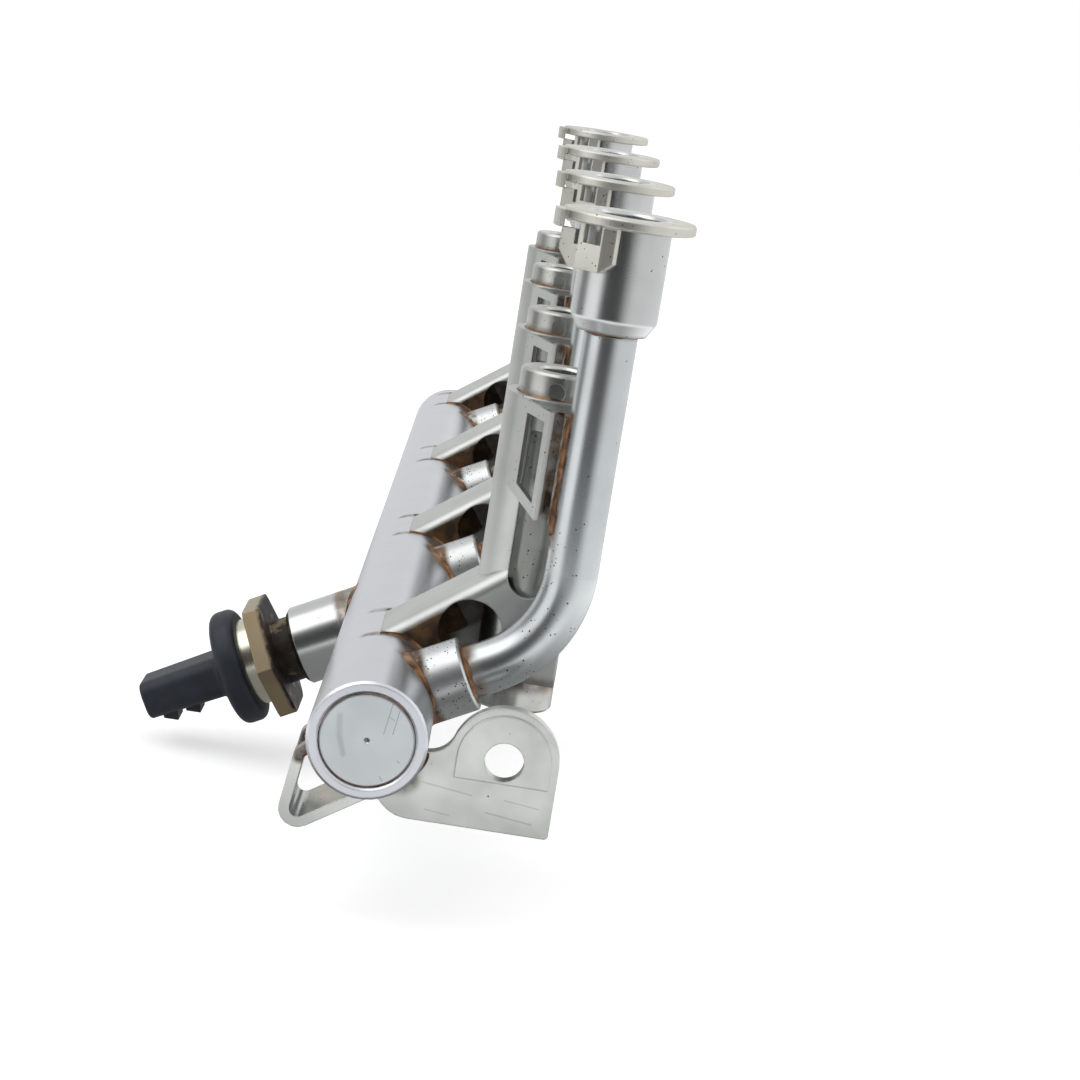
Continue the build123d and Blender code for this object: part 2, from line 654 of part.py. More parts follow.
def shroud_section(width, height, corner, z):
    """A round-cornered rectangle across the sensor's axis."""
    return Pos(0, 0, z) * RectangleRounded(width, height, corner)


def terminal_rows():
    """The side places of the terminals."""
    return [(i - (TERMINALS - 1) / 2) * TERMINAL_PITCH for i in range(TERMINALS)]


def sensor_connector():
    """The moulded connector: a round flange and a tapering shroud with two lock ramps under it."""
    end = SHROUD_START + SHROUD_LENGTH
    flange = rod(CONNECTOR_OD / 2, COLLAR_END, SHROUD_START)
    rings = flange.edges().filter_by(GeomType.CIRCLE)
    flange = fillet(rings, CONNECTOR_EDGE)
    root = shroud_section(SHROUD_WIDTH, SHROUD_ROOT_HEIGHT, SHROUD_CORNER_R, SHROUD_START - CONNECTOR_EDGE)
    mouth = shroud_section(SHROUD_WIDTH, SHROUD_END_HEIGHT, SHROUD_CORNER_R, end)
    shroud = loft([root, mouth])
    pocket_r = SHROUD_CORNER_R - SHROUD_WALL / 2
    pocket_width = SHROUD_WIDTH - 2 * SHROUD_WALL
    pocket_height = SHROUD_END_HEIGHT - 2 * SHROUD_WALL
    pocket_floor = COLLAR_END + CONNECTOR_FLOOR
    pocket = extrude(shroud_section(pocket_width, pocket_height, pocket_r, pocket_floor), amount=SHROUD_LENGTH)
    slope = (SHROUD_ROOT_HEIGHT - SHROUD_END_HEIGHT) / 2 / (SHROUD_LENGTH + CONNECTOR_EDGE)
    ramps = []
    for row in range(2):
        ramp_end = end - RAMP_GAP / 2 - row * (RAMP_LENGTH + RAMP_GAP)
        wall = SHROUD_END_HEIGHT / 2 + slope * (end - ramp_end) - SHROUD_WALL / 2
        side = Polyline(
            (wall, ramp_end),
            (wall + SHROUD_WALL / 2 + RAMP_HEIGHT * 0.5, ramp_end),
            (wall + SHROUD_WALL / 2 + RAMP_HEIGHT, ramp_end - RAMP_LENGTH * 0.7),
            (wall, ramp_end - RAMP_LENGTH),
            close=True,
        )
        ramp = extrude(Plane.YZ * make_face(side), amount=RAMP_WIDTH / 2, both=True)
        ramps.append(ramp)
    body = flange + shroud + ramps - pocket
    for x in terminal_rows():
        hole = Box(TERMINAL_WIDTH + 2 * FIT_GAP, TERMINAL_THICK + 2 * FIT_GAP, 2 * CONNECTOR_FLOOR)
        body -= Pos(x, 0, COLLAR_END + CONNECTOR_FLOOR) * hole
    return out_of_rail(SENSOR_STATION, SENSOR_ANGLE) * body


def sensor_terminals():
    """The three blades, from the board through the connector's floor into its socket."""
    blades = []
    for x in terminal_rows():
        blade = Box(TERMINAL_WIDTH, TERMINAL_THICK, TERMINAL_LENGTH)
        blades.append(Pos(x, 0, COLLAR_END + TERMINAL_LENGTH / 2) * blade)
    return out_of_rail(SENSOR_STATION, SENSOR_ANGLE) * Compound(children=blades)


def main():
    os.makedirs("parts", exist_ok=True)
    pieces = {
        "rail_tube": rail_tube(),
        "end_plug": end_plug(),
        "inlet_fitting": inlet_fitting(),
        "harness_bracket": harness_bracket(),
        "clip_loop": clip_loop(),
        "sensor_port": sensor_port(),
        "sensor_body": sensor_body(),
        "sensor_collar": sensor_collar(),
        "sensor_board": sensor_board(),
        "sensor_connector": sensor_connector(),
        "sensor_terminals": sensor_terminals(),
    }
    for number, station in enumerate(BOLT_STATIONS, start=1):
        cup_station = station - BOLT_TO_CUP_Y
        pieces[f"branch_sleeve_{number}"] = branch_sleeve(cup_station)
        pieces[f"branch_pipe_{number}"] = branch_pipe(cup_station)
        pieces[f"injector_cup_{number}"] = injector_cup(cup_station)
        pieces[f"cup_flange_{number}"] = cup_flange(cup_station)
        pieces[f"bolt_sleeve_{number}"] = bolt_sleeve(station)
        pieces[f"bracket_{number}"] = bracket(station)
        pieces[f"pipe_support_{number}"] = pipe_support(station)
    for name, shape in pieces.items():
        export_step(shape, f"parts/{name}.step")


main()
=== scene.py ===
"""A brazed steel fuel rail for four cylinders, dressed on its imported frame.

Lengths in this file are millimetres in the row's own frame, and become metres where a mesh or a lamp is made.
Y runs along the rail and the injector cups open to +Z. A unit is one cylinder's branch, cup, bolt sleeve,
bracket and pipe support.
"""

import logging
import math
from dataclasses import dataclass, field
from enum import Enum
from typing import Any, Optional, Union

import bmesh
import bpy
import numpy as np
from mathutils import Matrix

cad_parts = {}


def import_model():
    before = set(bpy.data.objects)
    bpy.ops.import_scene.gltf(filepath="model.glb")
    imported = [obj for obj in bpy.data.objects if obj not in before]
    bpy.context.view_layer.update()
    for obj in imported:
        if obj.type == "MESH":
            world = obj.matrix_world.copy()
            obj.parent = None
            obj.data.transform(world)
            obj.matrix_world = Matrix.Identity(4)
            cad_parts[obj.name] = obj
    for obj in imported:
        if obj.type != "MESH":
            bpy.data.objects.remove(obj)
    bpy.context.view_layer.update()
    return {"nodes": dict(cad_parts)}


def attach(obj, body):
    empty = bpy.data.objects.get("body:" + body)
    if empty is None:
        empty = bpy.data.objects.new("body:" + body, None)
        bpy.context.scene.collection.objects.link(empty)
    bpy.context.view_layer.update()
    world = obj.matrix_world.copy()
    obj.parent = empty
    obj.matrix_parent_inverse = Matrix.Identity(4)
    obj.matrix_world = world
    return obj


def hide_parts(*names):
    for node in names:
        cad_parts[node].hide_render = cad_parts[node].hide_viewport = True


LOG = logging.getLogger("fuel_rail")

MM = 0.001
PHOTO_SIDE = 1080
SENSOR_WIDTH = 36.0

Point = tuple[float, float, float]
Row = np.ndarray
Form = tuple[np.ndarray, list]
Socket = bpy.types.NodeSocket


def linear(colour: str) -> tuple[float, float, float, float]:
    """Turn an sRGB hex colour to linear light.

    Args:
        colour: Six hex digits after a hash.

    Returns:
        Linear red, green, blue and an alpha of one.
    """
    parts = [int(colour[i : i + 2], 16) / 255 for i in (1, 3, 5)]
    return (*[p / 12.92 if p <= 0.04045 else ((p + 0.055) / 1.055) ** 2.4 for p in parts], 1.0)


def add(tree: bpy.types.NodeTree, kind: str, inputs: Optional[dict] = None, **settings: Any) -> bpy.types.Node:
    """Add a node with its settings, values and links.

    Args:
        tree: The node tree that gets the node.
        kind: The node's type name.
        inputs: Input name or number to a value, or to the socket that feeds it.
        **settings: Attributes of the node.

    Returns:
        The new node.
    """
    made = tree.nodes.new(kind)
    for name, value in settings.items():
        setattr(made, name, value)
    for key, value in (inputs or {}).items():
        if isinstance(value, bpy.types.NodeSocket):
            tree.links.new(value, made.inputs[key])
        else:
            made.inputs[key].default_value = value
    return made


class Grain(Enum):
    """How a steel surface was made, as stretches of its fine pattern along X, Y and Z, per millimetre."""

    DRAWN_ALONG_Y = (7.0, 0.12, 7.0)
    DRAWN_ALONG_Z = (7.0, 7.0, 0.12)
    TURNED_ROUND_Z = (0.15, 0.15, 8.0)
    TURNED_ROUND_Y = (0.15, 8.0, 0.15)
    TURNED_ROUND_X = (8.0, 0.15, 0.15)
    ROLLED = (2.2, 2.2, 2.2)


@dataclass(frozen=True)
class Zone:
    """A soft-edged place on the steel, where furnace stain or pits gather, or, on the sensor's hexagon, where shade is
    painted.

    It is a box in a frame tilted about Y, and repeats at each unit. The distance to it is the length of what
    is left of the point's offset from the centre after the half sides are taken away.
    """

    centre: Point
    half: Point
    near: float
    far: float
    strength: float
    tilt: float = 0.0
    each_unit: bool = True


@dataclass(frozen=True)
class Scratch:
    """A grey line rubbed into the steel from one point to another, of this half width and strength."""

    start: Point
    end: Point
    half_width: float
    strength: float


@dataclass(frozen=True)
class SatinSteel:
    """Stainless steel as it leaves a brazing furnace: satin, pale grey, with grain, pits, stain and scratches, and on
    the sensor's hexagon a band of painted shade.
    """

    name: str
    tone: str = "#C6C9C9"
    cloud: str = "#B2B4B2"
    cloud_share: float = 0.5
    stain_and_shade_light: str = "#7C6044"
    stain_and_shade_dark: str = "#3E2F22"
    stain_and_shade_least: float = 0.35
    roughness: float = 0.24
    grain: Grain = Grain.ROLLED
    grain_depth: float = 0.008
    tilt: float = 0.0
    pit_share: float = 0.1
    pit_spacing: float = 1.0
    edge: float = 0.25
    stains_and_shade: tuple[Zone, ...] = ()
    pits: tuple[Zone, ...] = ()
    scratches: tuple[Scratch, ...] = ()

    def build(self) -> bpy.types.Material:
        """Make the material.

        Returns:
            The finished material.
        """
        material = bpy.data.materials.new(self.name)
        material.use_nodes = True
        tree = material.node_tree
        tree.nodes.clear()
        place = add(tree, "ShaderNodeTexCoord").outputs["Object"]
        mm = add(tree, "ShaderNodeVectorMath", {0: place, "Scale": 1 / MM}, operation="SCALE").outputs[0]
        stain_and_shade_mask = self._stain_and_shade(tree, mm)
        pitted = self._pit(tree, mm)
        scratched = self._scratch(tree, mm)
        clouds = add(tree, "ShaderNodeTexNoise", {"Vector": mm, "Scale": 0.12, "Detail": 2.0}).outputs[0]
        cloudy = add(
            tree, "ShaderNodeMapRange", {0: clouds, 1: 0.35, 2: 0.7, 3: 0.0, 4: self.cloud_share}
        ).outputs[0]
        steel = add(
            tree,
            "ShaderNodeMix",
            {0: cloudy, 6: linear(self.tone), 7: linear(self.cloud)},
            data_type="RGBA",
        ).outputs[2]
        rubbed = add(
            tree, "ShaderNodeMix", {0: scratched, 6: steel, 7: linear("#6C6E6C")}, data_type="RGBA"
        ).outputs[2]
        brown_noise = add(tree, "ShaderNodeTexNoise", {"Vector": mm, "Scale": 0.28, "Detail": 2.0}).outputs[0]
        brown_mix = add(tree, "ShaderNodeMapRange", {0: brown_noise, 1: 0.35, 2: 0.62}).outputs[0]
        brown = add(
            tree,
            "ShaderNodeMix",
            {0: brown_mix, 6: linear(self.stain_and_shade_light), 7: linear(self.stain_and_shade_dark)},
            data_type="RGBA",
        ).outputs[2]
        coloured = add(tree, "ShaderNodeMix", {0: stain_and_shade_mask, 6: rubbed, 7: brown}, data_type="RGBA").outputs[2]
        specked = add(
            tree, "ShaderNodeMix", {0: pitted, 6: coloured, 7: linear("#1F1B17")}, data_type="RGBA"
        ).outputs[2]
        normal = self._relief(tree, mm, pitted)
        rough = add(
            tree, "ShaderNodeMath", {0: cloudy, 1: 0.06, 2: self.roughness}, operation="MULTIPLY_ADD"
        ).outputs[0]
        rough = add(tree, "ShaderNodeMath", {0: stain_and_shade_mask, 1: 0.16, 2: rough}, operation="MULTIPLY_ADD").outputs[0]
        rough = add(tree, "ShaderNodeMath", {0: pitted, 1: 0.35, 2: rough}, operation="MULTIPLY_ADD").outputs[0]
        metal = add(
            tree, "ShaderNodeMath", {0: stain_and_shade_mask, 1: -0.4, 2: 1.0}, operation="MULTIPLY_ADD", use_clamp=True
        ).outputs[0]
        shader = add(
            tree,
            "ShaderNodeBsdfPrincipled",
            {"Base Color": specked, "Metallic": metal, "Roughness": rough, "Normal": normal},
        )
        add(tree, "ShaderNodeOutputMaterial", {"Surface": shader.outputs[0]})
        return material

    def _inside(self, tree: bpy.types.NodeTree, mm: Socket, zones: tuple[Zone, ...]) -> Union[Socket, float]:
        """Build how strongly a point lies in any of the zones.

        Args:
            tree: The material's nodes.
            mm: Place in millimetres.
            zones: The zones, of which the strongest counts.

        Returns:
            A value from 0 to the strongest zone's strength.
        """
        split = add(tree, "ShaderNodeSeparateXYZ", {0: mm})
        from_bolt = add(
            tree, "ShaderNodeMath", {0: split.outputs[1], 1: Layout.PITCH / 2}, operation="ADD"
        ).outputs[0]
        unit_y = add(
            tree, "ShaderNodeMath", {0: from_bolt, 1: Layout.PITCH / 2, 2: -Layout.PITCH / 2}, operation="WRAP"
        ).outputs[0]
        in_unit = add(
            tree, "ShaderNodeCombineXYZ", {0: split.outputs[0], 1: unit_y, 2: split.outputs[2]}
        ).outputs[0]
        total: Union[Socket, float] = 0.0
        for zone in zones:
            where = in_unit if zone.each_unit else mm
            offset = add(tree, "ShaderNodeVectorMath", {0: where, 1: zone.centre}, operation="SUBTRACT").outputs[0]
            turned = add(
                tree,
                "ShaderNodeVectorRotate",
                {"Vector": offset, "Angle": math.radians(zone.tilt)},
                rotation_type="Y_AXIS",
            ).outputs[0]
            size = add(tree, "ShaderNodeVectorMath", {0: turned}, operation="ABSOLUTE").outputs[0]
            left = add(tree, "ShaderNodeVectorMath", {0: size, 1: zone.half}, operation="SUBTRACT").outputs[0]
            outside = add(tree, "ShaderNodeVectorMath", {0: left, 1: (0, 0, 0)}, operation="MAXIMUM").outputs[0]
            away = add(tree, "ShaderNodeVectorMath", {0: outside}, operation="LENGTH").outputs["Value"]
            part = add(
                tree,
                "ShaderNodeMapRange",
                {0: away, 1: zone.near, 2: zone.far, 3: zone.strength, 4: 0.0},
                interpolation_type="SMOOTHSTEP",
            ).outputs[0]
            total = add(tree, "ShaderNodeMath", {0: part, 1: total}, operation="MAXIMUM").outputs[0]
        return total

    def _stain_and_shade(self, tree: bpy.types.NodeTree, mm: Socket) -> Socket:
        """Build the strength of the stain over the surface, which on the sensor's hexagon is painted shade: its zones,
        with a ragged share taken away.

        Args:
            tree: The material's nodes.
            mm: Place in millimetres.

        Returns:
            A value from 0, clean, to 1, fully stained or, on the sensor's hexagon, fully shaded.
        """
        ragged = add(tree, "ShaderNodeTexNoise", {"Vector": mm, "Scale": 0.3, "Detail": 3.0}).outputs[0]
        share = add(tree, "ShaderNodeMapRange", {0: ragged, 1: 0.32, 2: 0.56, 3: self.stain_and_shade_least, 4: 1.1}).outputs[0]
        return add(
            tree,
            "ShaderNodeMath",
            {0: self._inside(tree, mm, self.stains_and_shade), 1: share},
            operation="MULTIPLY",
            use_clamp=True,
        ).outputs[0]

    def _pit(self, tree: bpy.types.NodeTree, mm: Socket) -> Socket:
        """Build the dark pits: cells a spacing apart, of which a share holds a dot up to 0.3 mm wide.

        The share rises in the finish's pit zones.

        Args:
            tree: The material's nodes.
            mm: Place in millimetres.

        Returns:
            A value of 1 in a pit and 0 beside it.
        """
        cells = add(tree, "ShaderNodeTexVoronoi", {"Vector": mm, "Scale": 1 / self.pit_spacing}, feature="F1")
        split = add(tree, "ShaderNodeSeparateColor", {0: cells.outputs["Color"]})
        crowd = add(tree, "ShaderNodeTexNoise", {"Vector": mm, "Scale": 0.15, "Detail": 2.0}).outputs[0]
        scattered = add(
            tree, "ShaderNodeMapRange", {0: crowd, 1: 0.4, 2: 0.7, 3: 0.15, 4: 1.0}
        ).outputs[0]
        share = add(
            tree, "ShaderNodeMath", {0: self._inside(tree, mm, self.pits), 1: self.pit_share}, operation="ADD"
        ).outputs[0]
        chosen = add(tree, "ShaderNodeMath", {0: scattered, 1: share}, operation="MULTIPLY").outputs[0]
        kept = add(tree, "ShaderNodeMath", {0: split.outputs[0], 1: chosen}, operation="LESS_THAN").outputs[0]
        least, most = 0.05 / self.pit_spacing, 0.17 / self.pit_spacing
        width = add(tree, "ShaderNodeMapRange", {0: split.outputs[1], 3: least, 4: most}).outputs[0]
        dot = add(tree, "ShaderNodeMath", {0: cells.outputs["Distance"], 1: width}, operation="LESS_THAN").outputs[0]
        return add(tree, "ShaderNodeMath", {0: dot, 1: kept}, operation="MULTIPLY").outputs[0]

    def _scratch(self, tree: bpy.types.NodeTree, mm: Socket) -> Union[Socket, float]:
        """Build the scratches: each darkens the points that lie near its line.

        The nearest point of the line is found by the share of its length at which the offset from its start
        projects, kept between 0 and 1.

        Args:
            tree: The material's nodes.
            mm: Place in millimetres.

        Returns:
            A value from 0, clean, to the strongest scratch.
        """
        total: Union[Socket, float] = 0.0
        for line in self.scratches:
            run = np.subtract(line.end, line.start)
            offset = add(tree, "ShaderNodeVectorMath", {0: mm, 1: line.start}, operation="SUBTRACT").outputs[0]
            along = add(
                tree, "ShaderNodeVectorMath", {0: offset, 1: (run / (run @ run)).tolist()}, operation="DOT_PRODUCT"
            ).outputs["Value"]
            share = add(tree, "ShaderNodeMath", {0: along, 1: 1.0}, operation="MULTIPLY", use_clamp=True).outputs[0]
            nearest = add(
                tree, "ShaderNodeVectorMath", {0: run.tolist(), "Scale": share}, operation="SCALE"
            ).outputs[0]
            away = add(
                tree, "ShaderNodeVectorMath", {0: offset, 1: nearest}, operation="DISTANCE"
            ).outputs["Value"]
            part = add(
                tree,
                "ShaderNodeMapRange",
                {0: away, 1: line.half_width * 0.3, 2: line.half_width, 3: line.strength, 4: 0.0},
            ).outputs[0]
            total = add(tree, "ShaderNodeMath", {0: part, 1: total}, operation="MAXIMUM").outputs[0]
        return total

    def _relief(self, tree: bpy.types.NodeTree, mm: Socket, pitted: Socket) -> Socket:
        """Build the surface's normal: broken edges, then grain, then pits.

        Args:
            tree: The material's nodes.
            mm: Place in millimetres.
            pitted: The pits' mask.

        Returns:
            The normal.
        """
        turned = add(
            tree,
            "ShaderNodeVectorRotate",
            {"Vector": mm, "Angle": math.radians(self.tilt)},
            rotation_type="Y_AXIS",
        ).outputs[0]
        stretched = add(
            tree, "ShaderNodeVectorMath", {0: turned, 1: self.grain.value}, operation="MULTIPLY"
        ).outputs[0]
        lines = add(tree, "ShaderNodeTexNoise", {"Vector": stretched, "Scale": 1.0, "Detail": 2.0}).outputs[0]
        rounded = add(tree, "ShaderNodeBevel", {"Radius": self.edge * MM}, samples=4).outputs[0]
        grain = add(
            tree,
            "ShaderNodeBump",
            {"Height": lines, "Distance": self.grain_depth * MM, "Strength": 1.0, "Normal": rounded},
        ).outputs[0]
        hollow = add(tree, "ShaderNodeMath", {0: 1.0, 1: pitted}, operation="SUBTRACT").outputs[0]
        return add(
            tree, "ShaderNodeBump", {"Height": hollow, "Distance": 0.05 * MM, "Strength": 0.7, "Normal": grain}
        ).outputs[0]


@dataclass(frozen=True)
class BrazeCopper:
    """Copper filler that ran in the furnace and then tarnished: brown, lumpy, shiny only on its crests."""

    name: str = "tarnished_braze_copper"
    light: str = "#9A7450"
    middle: str = "#75543A"
    dark: str = "#42301F"
    roughness: float = 0.34

    def build(self) -> bpy.types.Material:
        """Make the material.

        Returns:
            The finished material.
        """
        material = bpy.data.materials.new(self.name)
        material.use_nodes = True
        tree = material.node_tree
        tree.nodes.clear()
        place = add(tree, "ShaderNodeTexCoord").outputs["Object"]
        mm = add(tree, "ShaderNodeVectorMath", {0: place, "Scale": 1 / MM}, operation="SCALE").outputs[0]
        patches = add(tree, "ShaderNodeTexNoise", {"Vector": mm, "Scale": 0.35, "Detail": 2.0})
        ramp = add(tree, "ShaderNodeValToRGB", {0: patches.outputs[0]})
        ramp.color_ramp.elements[0].position = 0.34
        ramp.color_ramp.elements[0].color = linear(self.dark)
        ramp.color_ramp.elements[1].position = 0.66
        ramp.color_ramp.elements[1].color = linear(self.light)
        ramp.color_ramp.elements.new(0.5).color = linear(self.middle)
        rough = add(
            tree, "ShaderNodeMapRange", {0: patches.outputs[0], 1: 0.3, 2: 0.7, 3: 0.5, 4: self.roughness}
        ).outputs[0]
        lumps = add(tree, "ShaderNodeTexNoise", {"Vector": mm, "Scale": 0.7, "Detail": 1.0}).outputs[0]
        relief = add(
            tree, "ShaderNodeBump", {"Height": lumps, "Distance": 0.12 * MM, "Strength": 0.6}
        ).outputs[0]
        shader = add(
            tree,
            "ShaderNodeBsdfPrincipled",
            {"Base Color": ramp.outputs[0], "Metallic": 0.6, "Roughness": rough, "Normal": relief},
        )
        add(tree, "ShaderNodeOutputMaterial", {"Surface": shader.outputs[0]})
        return material


@dataclass(frozen=True)
class MouldedPlastic:
    """Glass-filled PBT, injection moulded: near-black with a blue cast, a fine matt skin and softened edges."""

    name: str = "moulded_pbt"
    tone: str = "#1B212B"
    worn: str = "#28303C"
    roughness: float = 0.5
    edge: float = 0.45

    def build(self) -> bpy.types.Material:
        """Make the material.

        Returns:
            The finished material.
        """
        material = bpy.data.materials.new(self.name)
        material.use_nodes = True
        tree = material.node_tree
        tree.nodes.clear()
        place = add(tree, "ShaderNodeTexCoord").outputs["Object"]
        mm = add(tree, "ShaderNodeVectorMath", {0: place, "Scale": 1 / MM}, operation="SCALE").outputs[0]
        flow = add(tree, "ShaderNodeTexNoise", {"Vector": mm, "Scale": 0.25, "Detail": 4.0}).outputs[0]
        share = add(tree, "ShaderNodeMapRange", {0: flow, 1: 0.4, 2: 0.75, 3: 0.0, 4: 0.6}).outputs[0]
        colour = add(
            tree, "ShaderNodeMix", {0: share, 6: linear(self.tone), 7: linear(self.worn)}, data_type="RGBA"
        ).outputs[2]
        skin = add(tree, "ShaderNodeTexNoise", {"Vector": mm, "Scale": 6.0, "Detail": 2.0}).outputs[0]
        rough = add(tree, "ShaderNodeMapRange", {0: skin, 3: self.roughness - 0.06, 4: self.roughness + 0.08}).outputs[0]
        rounded = add(tree, "ShaderNodeBevel", {"Radius": self.edge * MM}, samples=4).outputs[0]
        relief = add(
            tree,
            "ShaderNodeBump",
            {"Height": skin, "Distance": 0.02 * MM, "Strength": 0.6, "Normal": rounded},
        ).outputs[0]
        shader = add(
            tree,
            "ShaderNodeBsdfPrincipled",
            {"Base Color": colour, "Metallic": 0.0, "Roughness": rough, "IOR": 1.42, "Normal": relief},
        )
        add(tree, "ShaderNodeOutputMaterial", {"Surface": shader.outputs[0]})
        return material


@dataclass(frozen=True)
class BoardLaminate:
    """Epoxy glass board under green lacquer: the weave shows as a faint grid about 0.6 mm apart."""

    name: str = "lacquered_board"
    tone: str = "#1E5A38"
    thread: str = "#2F7A50"
    weave_mm: float = 0.6

    def build(self) -> bpy.types.Material:
        """Make the material.

        Returns:
            The finished material.
        """
        material = bpy.data.materials.new(self.name)
        material.use_nodes = True
        tree = material.node_tree
        tree.nodes.clear()
        place = add(tree, "ShaderNodeTexCoord").outputs["Object"]
        mm = add(tree, "ShaderNodeVectorMath", {0: place, "Scale": 1 / MM}, operation="SCALE").outputs[0]
        weave = add(tree, "ShaderNodeTexChecker", {"Vector": mm, "Scale": 1 / self.weave_mm}).outputs["Fac"]
        share = add(tree, "ShaderNodeMath", {0: weave, 1: 0.35}, operation="MULTIPLY").outputs[0]
        colour = add(
            tree, "ShaderNodeMix", {0: share, 6: linear(self.tone), 7: linear(self.thread)}, data_type="RGBA"
        ).outputs[2]
        shader = add(
            tree, "ShaderNodeBsdfPrincipled", {"Base Color": colour, "Roughness": 0.35, "IOR": 1.5}
        )
        add(tree, "ShaderNodeOutputMaterial", {"Surface": shader.outputs[0]})
        return material


class Layout:
    """Places that the pieces share, in millimetres."""

    PITCH = 96.0
    UNITS = 4
    RAIL_X = -25.0
    RAIL_Z = -64.8
    RAIL_R = 11.0
    NEAR_END = -190.0
    FAR_END = 162.0
    CUP_X = 7.0
    CUP_SHIFT = -20.5
    BRANCH_ANGLE = 28.0
    SENSOR_TILT = 28.0
    SENSOR_Y = -90.0
    PIPE_R = 5.0

    @classmethod
    def station(cls, number: int) -> float:
        """Return the Y of a unit's bolt, counted from 1 at the closed end."""
        return (number - (cls.UNITS + 1) / 2) * cls.PITCH

    @classmethod
    def rail_point(cls, y: float) -> Row:
        """Return the point of the rail's axis at this Y."""
        return np.array([cls.RAIL_X, y, cls.RAIL_Z])


def lay_mesh(name: str, points: np.ndarray, faces: list, smooth: bool = True) -> bpy.types.Object:
    """Put points and faces into a new mesh object with its faces outwards.

    Args:
        name: The piece's name.
        points: Its vertices in millimetres, N by 3.
        faces: Lists of vertex numbers.
        smooth: Whether its faces are shaded smooth.

    Returns:
        The new object, linked to the scene.
    """
    mesh = bpy.data.meshes.new(name)
    mesh.from_pydata((points * MM).tolist(), [], faces)
    form = bmesh.new()
    form.from_mesh(mesh)
    bmesh.ops.recalc_face_normals(form, faces=form.faces)
    form.to_mesh(mesh)
    form.free()
    mesh.polygons.foreach_set("use_smooth", np.full(len(mesh.polygons), smooth))
    mesh.update()
    made = bpy.data.objects.new(name, mesh)
    bpy.context.scene.collection.objects.link(made)
    return made


def grid_faces(rows: int, columns: int, rows_close: bool, columns_close: bool) -> list:
    """Number the quads of a grid of points.

    Args:
        rows: Points along the first parameter.
        columns: Points along the second parameter.
        rows_close: Whether the last row joins the first.
        columns_close: Whether the last column joins the first.

    Returns:
        Lists of four vertex numbers, and one cap at each end where only the columns close.
    """
    r = np.arange(rows if rows_close else rows - 1)[:, None]
    c = np.arange(columns if columns_close else columns - 1)[None, :]
    up, right = (r + 1) % rows, (c + 1) % columns
    quads = np.stack([r * columns + c, r * columns + right, up * columns + right, up * columns + c], axis=-1)
    faces = quads.reshape(-1, 4).tolist()
    if columns_close and not rows_close:
        faces.append(list(range(columns)))
        faces.append([(rows - 1) * columns + k for k in range(columns)])
    return faces


def joined(forms: list[Form]) -> Form:
    """Put several closed forms into one list of points and one of faces."""
    starts = np.cumsum([0] + [len(points) for points, _ in forms[:-1]]).tolist()
    faces = [[start + k for k in face] for start, (_, some) in zip(starts, forms) for face in some]
    return np.concatenate([points for points, _ in forms]), faces


def placed(form: Form, origin: Row, axes: np.ndarray) -> Form:
    """Set a form at an origin, with its own X, Y and Z along the three rows of axes."""
    points, faces = form
    return points @ axes + origin, faces


def sheet_form(outer: np.ndarray, inner: np.ndarray, kept: np.ndarray) -> Form:
    """Build a sheet with openings over a grid of cells.

    Both skins have the same grid. A kept cell has a quad on each, and a quad joins the skins along each side
    of the cell that no other kept cell shares.

    Args:
        outer: Points of one skin, rows by columns by 3.
        inner: Points of the other skin.
        kept: Which cells are metal, one fewer each way.

    Returns:
        The closed sheet.
    """
    rows, columns = outer.shape[:2]
    count = rows * columns
    number = np.arange(count).reshape(rows, columns)
    a, b, c, d = number[:-1, :-1], number[1:, :-1], number[1:, 1:], number[:-1, 1:]
    around = np.pad(kept, 1)
    sides = (
        (a, b, around[1:-1, :-2]),
        (b, c, around[2:, 1:-1]),
        (c, d, around[1:-1, 2:]),
        (d, a, around[:-2, 1:-1]),
    )
    quads = [np.stack([a, b, c, d], axis=-1)[kept], np.stack([d, c, b, a], axis=-1)[kept] + count]
    for start, end, neighbour in sides:
        rim = kept & ~neighbour
        quads.append(np.stack([end[rim], start[rim], start[rim] + count, end[rim] + count], axis=-1))
    used, faces = np.unique(np.concatenate(quads), return_inverse=True)
    points = np.concatenate([outer.reshape(-1, 3), inner.reshape(-1, 3)])[used]
    return points, faces.reshape(-1, 4).tolist()


def lathe_form(profile: np.ndarray, steps: int = 96) -> Form:
    """Turn a closed profile of radius against height once round Z.

    Args:
        profile: Rows of radius and height.
        steps: Stations round the turn.

    Returns:
        The closed ring.
    """
    t = np.linspace(0, 2 * np.pi, steps, endpoint=False)[:, None]
    radius, height = profile.T
    points = np.stack([np.cos(t) * radius, np.sin(t) * radius, np.broadcast_to(height, (steps, len(height)))], axis=-1)
    return points.reshape(-1, 3), grid_faces(steps, len(profile), True, True)


def rounded_path(corners: np.ndarray, radii: list[float], steps: int = 7) -> np.ndarray:
    """Round the inner corners of a path.

    An arc starts and ends its radius times the tangent of half the turn from its corner. Its points are the
    two end radii mixed by the sines of the parts of the turn that lie on either side.

    Args:
        corners: The path's corners, N by 2.
        radii: The radius at each inner corner, or 0 for a plain point.
        steps: Points on each arc.

    Returns:
        The rounded path's points.
    """
    ways = np.diff(corners, axis=0)
    ways /= np.linalg.norm(ways, axis=1)[:, None]
    parts = [corners[:1]]
    for corner, before, after, radius in zip(corners[1:-1], ways[:-1], ways[1:], radii):
        turn = math.acos(min(1.0, float(before @ after)))
        if radius == 0:
            parts.append(corner[None])
            continue
        reach = radius * math.tan(turn / 2)
        centre = corner + (after - before) / np.linalg.norm(after - before) * radius / math.cos(turn / 2)
        start, end = corner - reach * before - centre, corner + reach * after - centre
        share = np.linspace(0, 1, steps)[:, None]
        parts.append(centre + (np.sin((1 - share) * turn) * start + np.sin(share * turn) * end) / math.sin(turn))
    return np.concatenate([*parts, corners[-1:]])


